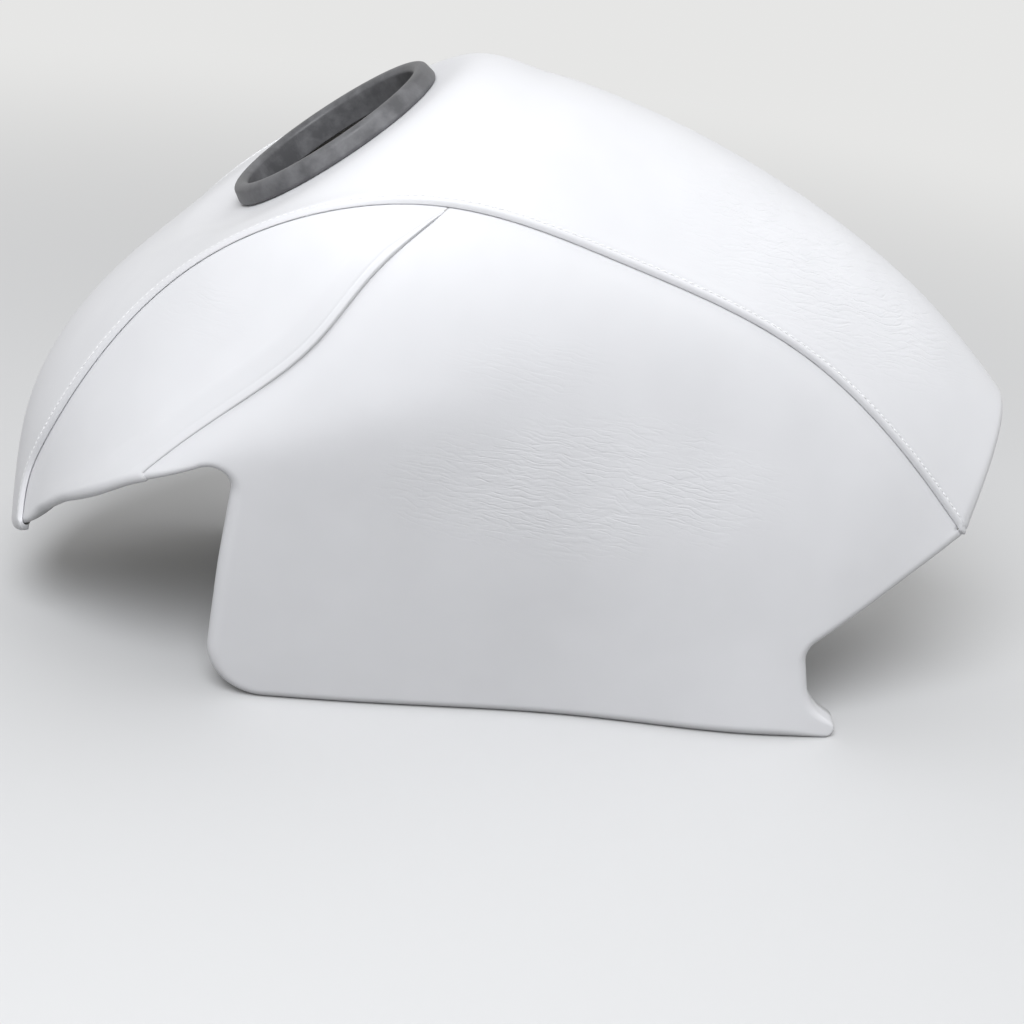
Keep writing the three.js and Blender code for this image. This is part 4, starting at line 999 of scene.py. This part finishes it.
def sideSheet():
    # boundary: shoulder seam up to the junction, main seam to the rear, lower outline back
    step = sideGrid["edgeStep"]
    ts = evenly(shoulderSeamAt, hemT, 0.0, step)[:-1]
    ss = evenly(seamAt, junctionS, hemRearS, step)
    lengths = np.linspace(outlineTotal - 1.0, hemEnd + 1.0, int((outlineTotal - hemEnd) / step))
    hem = hemStart(lengths)
    seamLow = shoulderSeamAt(ts)
    seamHigh = seamAt(ss)
    seams = np.concatenate([seamLow, seamHigh])
    loop = np.concatenate([seams, hem["place"]])
    points = sheetPoints(loop, seams, hem["place"])
    count = len(loop)
    edges = [(i, (i + 1) % count) for i in range(count)]
    made = geometry.delaunay_2d_cdt([Vector(p) for p in points.tolist()], edges, [list(range(count))],
                                    1, 1e-4)
    flat = np.array([v[:] for v in made[0]])
    faces = [tuple(f) for f in made[2]]
    source = {old: new for new, olds in enumerate(made[3]) for old in olds}
    level = besideLaps(flat, seamLow[::-1], seamHigh)
    level[[source[i] for i in range(count)]] = 0
    vertices = [sidePoint(flat, level)]

    def addRow(row, previous, flip=False):
        # a strip of faces from the ring of vertices before to a new row
        start = sum(len(v) for v in vertices)
        now = list(range(start, start + len(row)))
        for i in range(len(row) - 1):
            face = (previous[i], now[i], now[i + 1], previous[i + 1])
            faces.append((face[0], face[3], face[2], face[1]) if flip else face)
        vertices.append(row)
        return now

    # tucked under the laps
    previous = [source[i] for i in range(len(seams))]
    fromJunction = smooth(ts * shoulderLength / 30)
    for share, depth in ((0.15, 0.5), (0.5, 0.9), (1.0, 0.9)):
        d = sheet["tuck"] * share
        lowPart = sidePoint(besideShoulderSeam(ts, d * fromJunction), np.full_like(ts, -depth))
        highPart = besideSeam(ss, np.full_like(ss, d), np.full_like(ss, -depth))
        previous = addRow(np.concatenate([lowPart, highPart]), previous)
    # the rolled hem and its lip, which run on under the other panels' hems
    hemRing = [source[i] for i in range(len(seams), count)]
    over = outlineTotal + np.array([3.0, 1.6, 0.3])
    under = np.arange(hemEnd - 1.0, hemEnd - sheet["foldReturn"], -2.0)
    lengths = np.concatenate([over, lengths, under])
    hem = hemStart(lengths)
    hem["start"][:len(over)] -= 0.4 * sideNormal(hem["place"][:len(over)])
    fromRear = smooth((outlineTotal - lengths) / sheet["cornerBlend"])
    lip = mix(sheet["lipAtCorner"], sheet["hemLip"], fromRear)

    def hemRow(turn, beyond):
        return hemPoint(hem["start"], hem["out"], hem["into"], hem["radius"], np.full_like(lengths, turn),
                        lip * beyond, np.zeros_like(lengths))

    settle = np.where(hem["edge"][:, 1] > 0.01, 0, -hemRow(1, 0)[:, 2])  # the flat hem rests on the floor
    start = sum(len(v) for v in vertices)
    ends = list(range(start, start + len(over) + len(under)))
    vertices.append(np.concatenate([hem["start"][:len(over)], hem["start"][-len(under):]]))
    previous = ends[:len(over)] + hemRing + ends[len(over):]
    turns = sideGrid["hemTurns"]
    for turn, beyond in [(k / turns, 0.0) for k in range(1, turns + 1)] + [(1, 0.5), (1, 1.0)]:
        row = hemRow(turn, beyond)
        row[:, 2] += settle * turn
        previous = addRow(row, previous, flip=True)
    return np.concatenate(vertices), faces


def faceOutwards(made, outward):
    bmesh.ops.delete(made, geom=[v for v in made.verts if not v.link_faces], context="VERTS")
    bmesh.ops.recalc_face_normals(made, faces=made.faces)
    made.faces.ensure_lookup_table()
    best = max(made.faces, key=lambda f: abs(f.normal.y) * f.calc_area())
    if best.normal.y * outward < 0:
        bmesh.ops.reverse_faces(made, faces=made.faces)


sidePoints, sideFaces = sideSheet()
for name, side in (("left", False), ("right", True)):
    piece = putMesh("cover_side_panel_" + name, sidePoints, sideFaces, [vinyl, knit], mirrorY=side)
    reworkMesh(piece.data, lambda made: faceOutwards(made, 1 if side else -1))
    backed(piece, sheet["vinyl"])
    ridePiece(piece, "white_vinyl", "side_panel_" + name)
print("side panels made:", len(sideFaces), "faces")

# Top stitching


# along one stitch: share of its half length, of the thread's radius, and how far it stands up
stitchStations = [(-1.0, 0.25, -0.5), (-0.93, 0.75, -0.25), (-0.7, 1.0, 0.15), (0, 1.0, 0.35),
                  (0.7, 1.0, 0.15), (0.93, 0.75, -0.25), (1.0, 0.25, -0.5)]
stitchSides = 8


def stitchRow(name, centres, normals):
    # one capsule of thread for each stitch, laid along the row
    lengths = np.concatenate([[0], np.cumsum(np.linalg.norm(np.diff(centres, axis=0), axis=1))])
    pitch = seamLook["stitchPitch"]
    half = seamLook["stitchLength"] / 2
    radius = seamLook["threadRadius"]
    sides = stitchSides
    points = []
    faces = []

    def along(values, length):
        return np.array([np.interp(length, lengths, values[:, k]) for k in range(3)])

    at = pitch / 2
    while at < lengths[-1] - pitch / 2:
        normal = unit(along(normals, at))
        run = unit(along(centres, at + half) - along(centres, at - half))
        across = np.cross(run, normal)
        start = len(points)
        for f, size, rise in stitchStations:
            base = along(centres, at) + run * f * half + normal * radius * rise
            for k in range(sides):
                angle = 2 * math.pi * k / sides
                points.append(base + radius * size * (across * math.cos(angle) + normal * math.sin(angle)))
        last = start + (len(stitchStations) - 1) * sides
        for ring in range(start, last, sides):
            for k in range(sides):
                a = ring + k
                b = ring + (k + 1) % sides
                faces.append((a, b, b + sides, a + sides))
        faces.append(tuple(start + k for k in reversed(range(sides))))
        faces.append(tuple(last + k for k in range(sides)))
        at += pitch
    return ridePiece(putMesh(name, points, faces, [thread]), "white_vinyl")


def mainSeamStitches(side):
    s = np.linspace(hemFrontS, hemRearS, 900)
    reach = centreFrame(s, -np.ones_like(s))[2]
    q = -(1 - seamLook["stitchFrom"] / reach)
    normals = centreFrame(s, q)[1]
    centres = centre(s, q) + normals * (full + float(relief(seamLook["stitchFrom"])) + 0.18)
    if side > 0:
        centres = centres * np.array([1, -1, 1])
        normals = normals * np.array([1, -1, 1])
    return centres, normals


for name, side in (("left", -1), ("right", 1)):
    stitchRow("main_seam_stitches_" + name, *mainSeamStitches(side))
print("stitches made")

# Filler collar

collarLook = {"wall": 5, "rise": 11, "grip": 4.5, "below": 4.4, "edge": 1.6, "segments": 144}


def turned(name, profile, origin, axis, segments, material):
    # a closed profile of (radius, height), turned about an axis
    axis = unit(np.asarray(axis, float))
    side = unit(np.cross(axis, np.array([0.0, 1.0, 0.0])))
    other = np.cross(axis, side)
    points = []
    for k in range(segments):
        angle = 2 * math.pi * k / segments
        spoke = side * math.cos(angle) + other * math.sin(angle)
        points.extend(origin + spoke * r + axis * h for r, h in profile)
    count = len(profile)
    faces = []
    for k in range(segments):
        a = k * count
        b = ((k + 1) % segments) * count
        for j in range(count):
            faces.append((a + j, b + j, b + (j + 1) % count, a + (j + 1) % count))
    piece = putMesh(name, points, faces, [material])
    reworkMesh(piece.data, lambda made: bmesh.ops.recalc_face_normals(made, faces=made.faces))
    return piece


def roundedProfile(corners, steps=5):
    # corners are (radius, height, fillet)
    points = []
    count = len(corners)
    for i, (r, h, fillet) in enumerate(corners):
        here = np.array([r, h], float)
        before = np.array(corners[i - 1][:2], float) - here
        after = np.array(corners[(i + 1) % count][:2], float) - here
        reach = min(fillet, 0.45 * np.linalg.norm(before), 0.45 * np.linalg.norm(after))
        if reach < 0.01:
            points.append(here)
            continue
        start = here + unit(before) * reach
        end = here + unit(after) * reach
        for k in range(steps + 1):
            f = k / steps
            points.append((1 - f) ** 2 * start + 2 * f * (1 - f) * here + f * f * end)
    return points


def fillerCollar():
    look = collarLook
    grip = body["filler"]["opening"] - sheet["gap"]
    bore = grip - look["wall"]
    lip = body["filler"]["opening"] + look["grip"]
    under = full - sheet["vinyl"] - sheet["gap"]
    over = full + sheet["gap"]
    edge = look["edge"]
    top = over + look["rise"]
    corners = [
        (bore, under - look["below"], 1.0), (lip - edge, under - look["below"], 1.0),
        (lip, under - look["below"] + edge, 1.0), (lip, under, 0.4), (grip, under, 0.0), (grip, over, 0.0),
        (lip - 0.4, over, 0.4), (lip + edge / 2, over + edge, 1.4), (lip - edge / 2, top - edge, 1.8),
        (lip - 2.2 * edge, top, 1.6), (bore + edge + 1, top - 0.3, 1.2), (bore, top - 1.6 * edge, 1.2),
    ]
    return turned("filler_collar_rubber", roundedProfile(corners), fillerSeat, fillerNormal,
                  look["segments"], rubber)


ridePiece(fillerCollar(), "black_rubber", "filler_collar")
print("filler collar made")

# Straps, buckles and the rear tab keep the frame's solids, with eased edges


easing = {
    "strap": 0.35,  # mm of rounding on the edges
    "patch": 0.25,
    "eyelet": 0.12,
    "buckle": 0.6,
    "fromAngle": 30,  # degrees; edges that turn less stay as they are
    "smoothAngle": 35,
}


def mergeFlats(made):
    bmesh.ops.remove_doubles(made, verts=made.verts, dist=1e-6)
    bmesh.ops.dissolve_limit(made, angle_limit=math.radians(1), verts=made.verts, edges=made.edges)


def easedNode(node, material, slotName, bevel, segments=2):
    piece = bpy.data.objects.new(node + "_finished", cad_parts[node].data.copy())
    bpy.context.scene.collection.objects.link(piece)
    piece.data.materials.clear()
    piece.data.materials.append(material)
    reworkMesh(piece.data, mergeFlats)
    piece.data.polygons.foreach_set("material_index", [0] * len(piece.data.polygons))
    eased = piece.modifiers.new("eased", "BEVEL")
    eased.width = bevel / 1000
    eased.segments = segments
    eased.limit_method = "ANGLE"
    eased.angle_limit = math.radians(easing["fromAngle"])
    applyModifiers(piece)
    piece.data.polygons.foreach_set("use_smooth", [True] * len(piece.data.polygons))
    piece.data.set_sharp_from_angle(angle=math.radians(easing["smoothAngle"]))
    return ridePiece(piece, slotName, node)


for side in ("left", "right"):
    easedNode("front_strap_" + side, webbing, "black_webbing", easing["strap"])
    easedNode("rear_strap_" + side, webbing, "black_webbing", easing["strap"])
    easedNode("front_patch_" + side, vinyl, "white_vinyl", easing["patch"])
    easedNode("rear_patch_" + side, vinyl, "white_vinyl", easing["patch"])
    easedNode("eyelet_" + side, nickel, "nickel_plate", easing["eyelet"])
    easedNode("eyelet_washer_" + side, nickel, "nickel_plate", easing["eyelet"])
for node in ("front_buckle_plug", "front_buckle_socket", "rear_buckle"):
    easedNode(node, acetal, "black_acetal", easing["buckle"], segments=3)
easedNode("rear_tab", vinyl, "white_vinyl", easing["patch"])
print("straps, buckles and tab made")

for side in ("left", "right"):
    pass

# Floor, lights and camera

room = {
    "floor": "#d6d6d6",  # as the camera sees it near the cover
    "floorBounce": "#868686",  # and as it lights the cover's lower sides
    "floorFade": (0.55, 1.7),  # metres from the cover over which the floor pales into the backdrop
    "ambient": (0.28, 0.69),  # near the horizon and overhead
    "backdrop": 0.86,
    "backdropColour": "#f6f6f5",
    "lampColour": "#f9fbff",
    "lampAim": (0, -0.05, 0.18),
    # energy, size, elevation, azimuth, distance
    "lamps": {"soft key": (58.5, 1.5, 47, -12, 2.6), "soft rear fill": (8.0, 1.6, 34, 118, 2.6)},
}


def seenDirectly(tree):
    # 1 for the camera's rays and for those that a glossy surface sends on
    path = addNode(tree, "LightPath").outputs
    return addNode(tree, "Math", {0: path["Is Camera Ray"], 1: path["Is Glossy Ray"]}, operation="MAXIMUM")


def paintedFloor():
    # matt floor paint: mid grey as it lights the cover, pale to the eye and fading into the backdrop
    material = bpy.data.materials.new("pale painted floor")
    material.use_nodes = True
    tree = material.node_tree
    tree.nodes.clear()
    seen = seenDirectly(tree)
    tone = addNode(tree, "Mix", {0: seen, **between((room["floorBounce"], room["floor"]))},
                   data_type="RGBA")
    paint = addNode(tree, "BsdfPrincipled", {"Base Color": tone.outputs[2], "Roughness": 0.9})
    place = addNode(tree, "TexCoord").outputs["Object"]
    far = addNode(tree, "VectorMath", {0: place}, operation="LENGTH").outputs["Value"]
    near, end = room["floorFade"]
    fade = addNode(tree, "MapRange", {0: far, 1: near, 2: end}, interpolation_type="SMOOTHSTEP")
    share = addNode(tree, "Math", {0: fade, 1: seen}, operation="MULTIPLY")
    pale = addNode(tree, "Emission", {"Color": linear(room["backdropColour"]),
                                      "Strength": room["backdrop"]})
    both = addNode(tree, "MixShader", {0: share, 1: paint, 2: pale})
    addNode(tree, "OutputMaterial", {"Surface": both})
    return material


def makeFloor():
    mesh = bpy.data.meshes.new("floor")
    reworkMesh(mesh, lambda made: bmesh.ops.create_grid(made, x_segments=1, y_segments=1, size=6))
    floor = bpy.data.objects.new("floor", mesh)
    bpy.context.scene.collection.objects.link(floor)
    mesh.materials.append(paintedFloor())


def makeSky():
    world = bpy.data.worlds.new("studio")
    bpy.context.scene.world = world
    world.use_nodes = True
    tree = world.node_tree
    tree.nodes.clear()
    towards = addNode(tree, "TexCoord").outputs["Generated"]
    high = addNode(tree, "SeparateXYZ", {0: towards}).outputs["Z"]
    low, overhead = room["ambient"]
    around = addNode(tree, "MapRange", {0: high, 1: 0.0, 2: 1.0, 3: low, 4: overhead})
    strength = addNode(tree, "MapRange", {0: seenDirectly(tree), 3: around, 4: room["backdrop"]})
    sky = addNode(tree, "Background", {"Color": linear(room["backdropColour"]), "Strength": strength})
    addNode(tree, "OutputWorld", {"Surface": sky})


def towardsFrom(azimuth, elevation):
    # from the cover, azimuth about Z from its left side
    about = math.radians(azimuth)
    raised = math.radians(elevation)
    return Vector((math.sin(about) * math.cos(raised), -math.cos(about) * math.cos(raised),
                   math.sin(raised)))


def makeLamps():
    for name, (energy, size, elevation, azimuth, distance) in room["lamps"].items():
        light = bpy.data.lights.new(name, "AREA")
        light.shape = "DISK"
        light.size = size
        light.energy = energy
        light.color = linear(room["lampColour"])[:3]
        lamp = bpy.data.objects.new(name, light)
        bpy.context.scene.collection.objects.link(lamp)
        towards = towardsFrom(azimuth, elevation)
        lamp.location = Vector(room["lampAim"]) + towards * distance
        lamp.rotation_euler = towards.to_track_quat("Z", "Y").to_euler()


photoView = {"azimuth": -3, "elevation": 23, "roll": 7.2, "distance": 1.2, "aim": (0.004, -0.115, 0.132),
             "lens": 75.35}


def makeCamera():
    view = photoView
    roll = math.radians(view["roll"])
    back = towardsFrom(view["azimuth"], view["elevation"])
    right = Vector((0, 0, 1)).cross(back).normalized()
    up = back.cross(right)
    turnedRight = right * math.cos(roll) + up * math.sin(roll)
    turnedUp = up * math.cos(roll) - right * math.sin(roll)
    place = Vector(view["aim"]) + back * view["distance"]
    data = bpy.data.cameras.new("camera")
    data.lens = view["lens"]
    data.sensor_width = 36
    data.clip_start = 0.05
    data.clip_end = 50
    camera = bpy.data.objects.new("camera", data)
    bpy.context.scene.collection.objects.link(camera)
    rows = [(turnedRight[i], turnedUp[i], back[i], place[i]) for i in range(3)] + [(0, 0, 0, 1)]
    camera.matrix_world = Matrix(rows)
    bpy.context.scene.camera = camera


makeFloor()
makeSky()
makeLamps()
makeCamera()
bpy.context.scene.view_settings.view_transform = "Standard"
print("floor, lights and camera set")
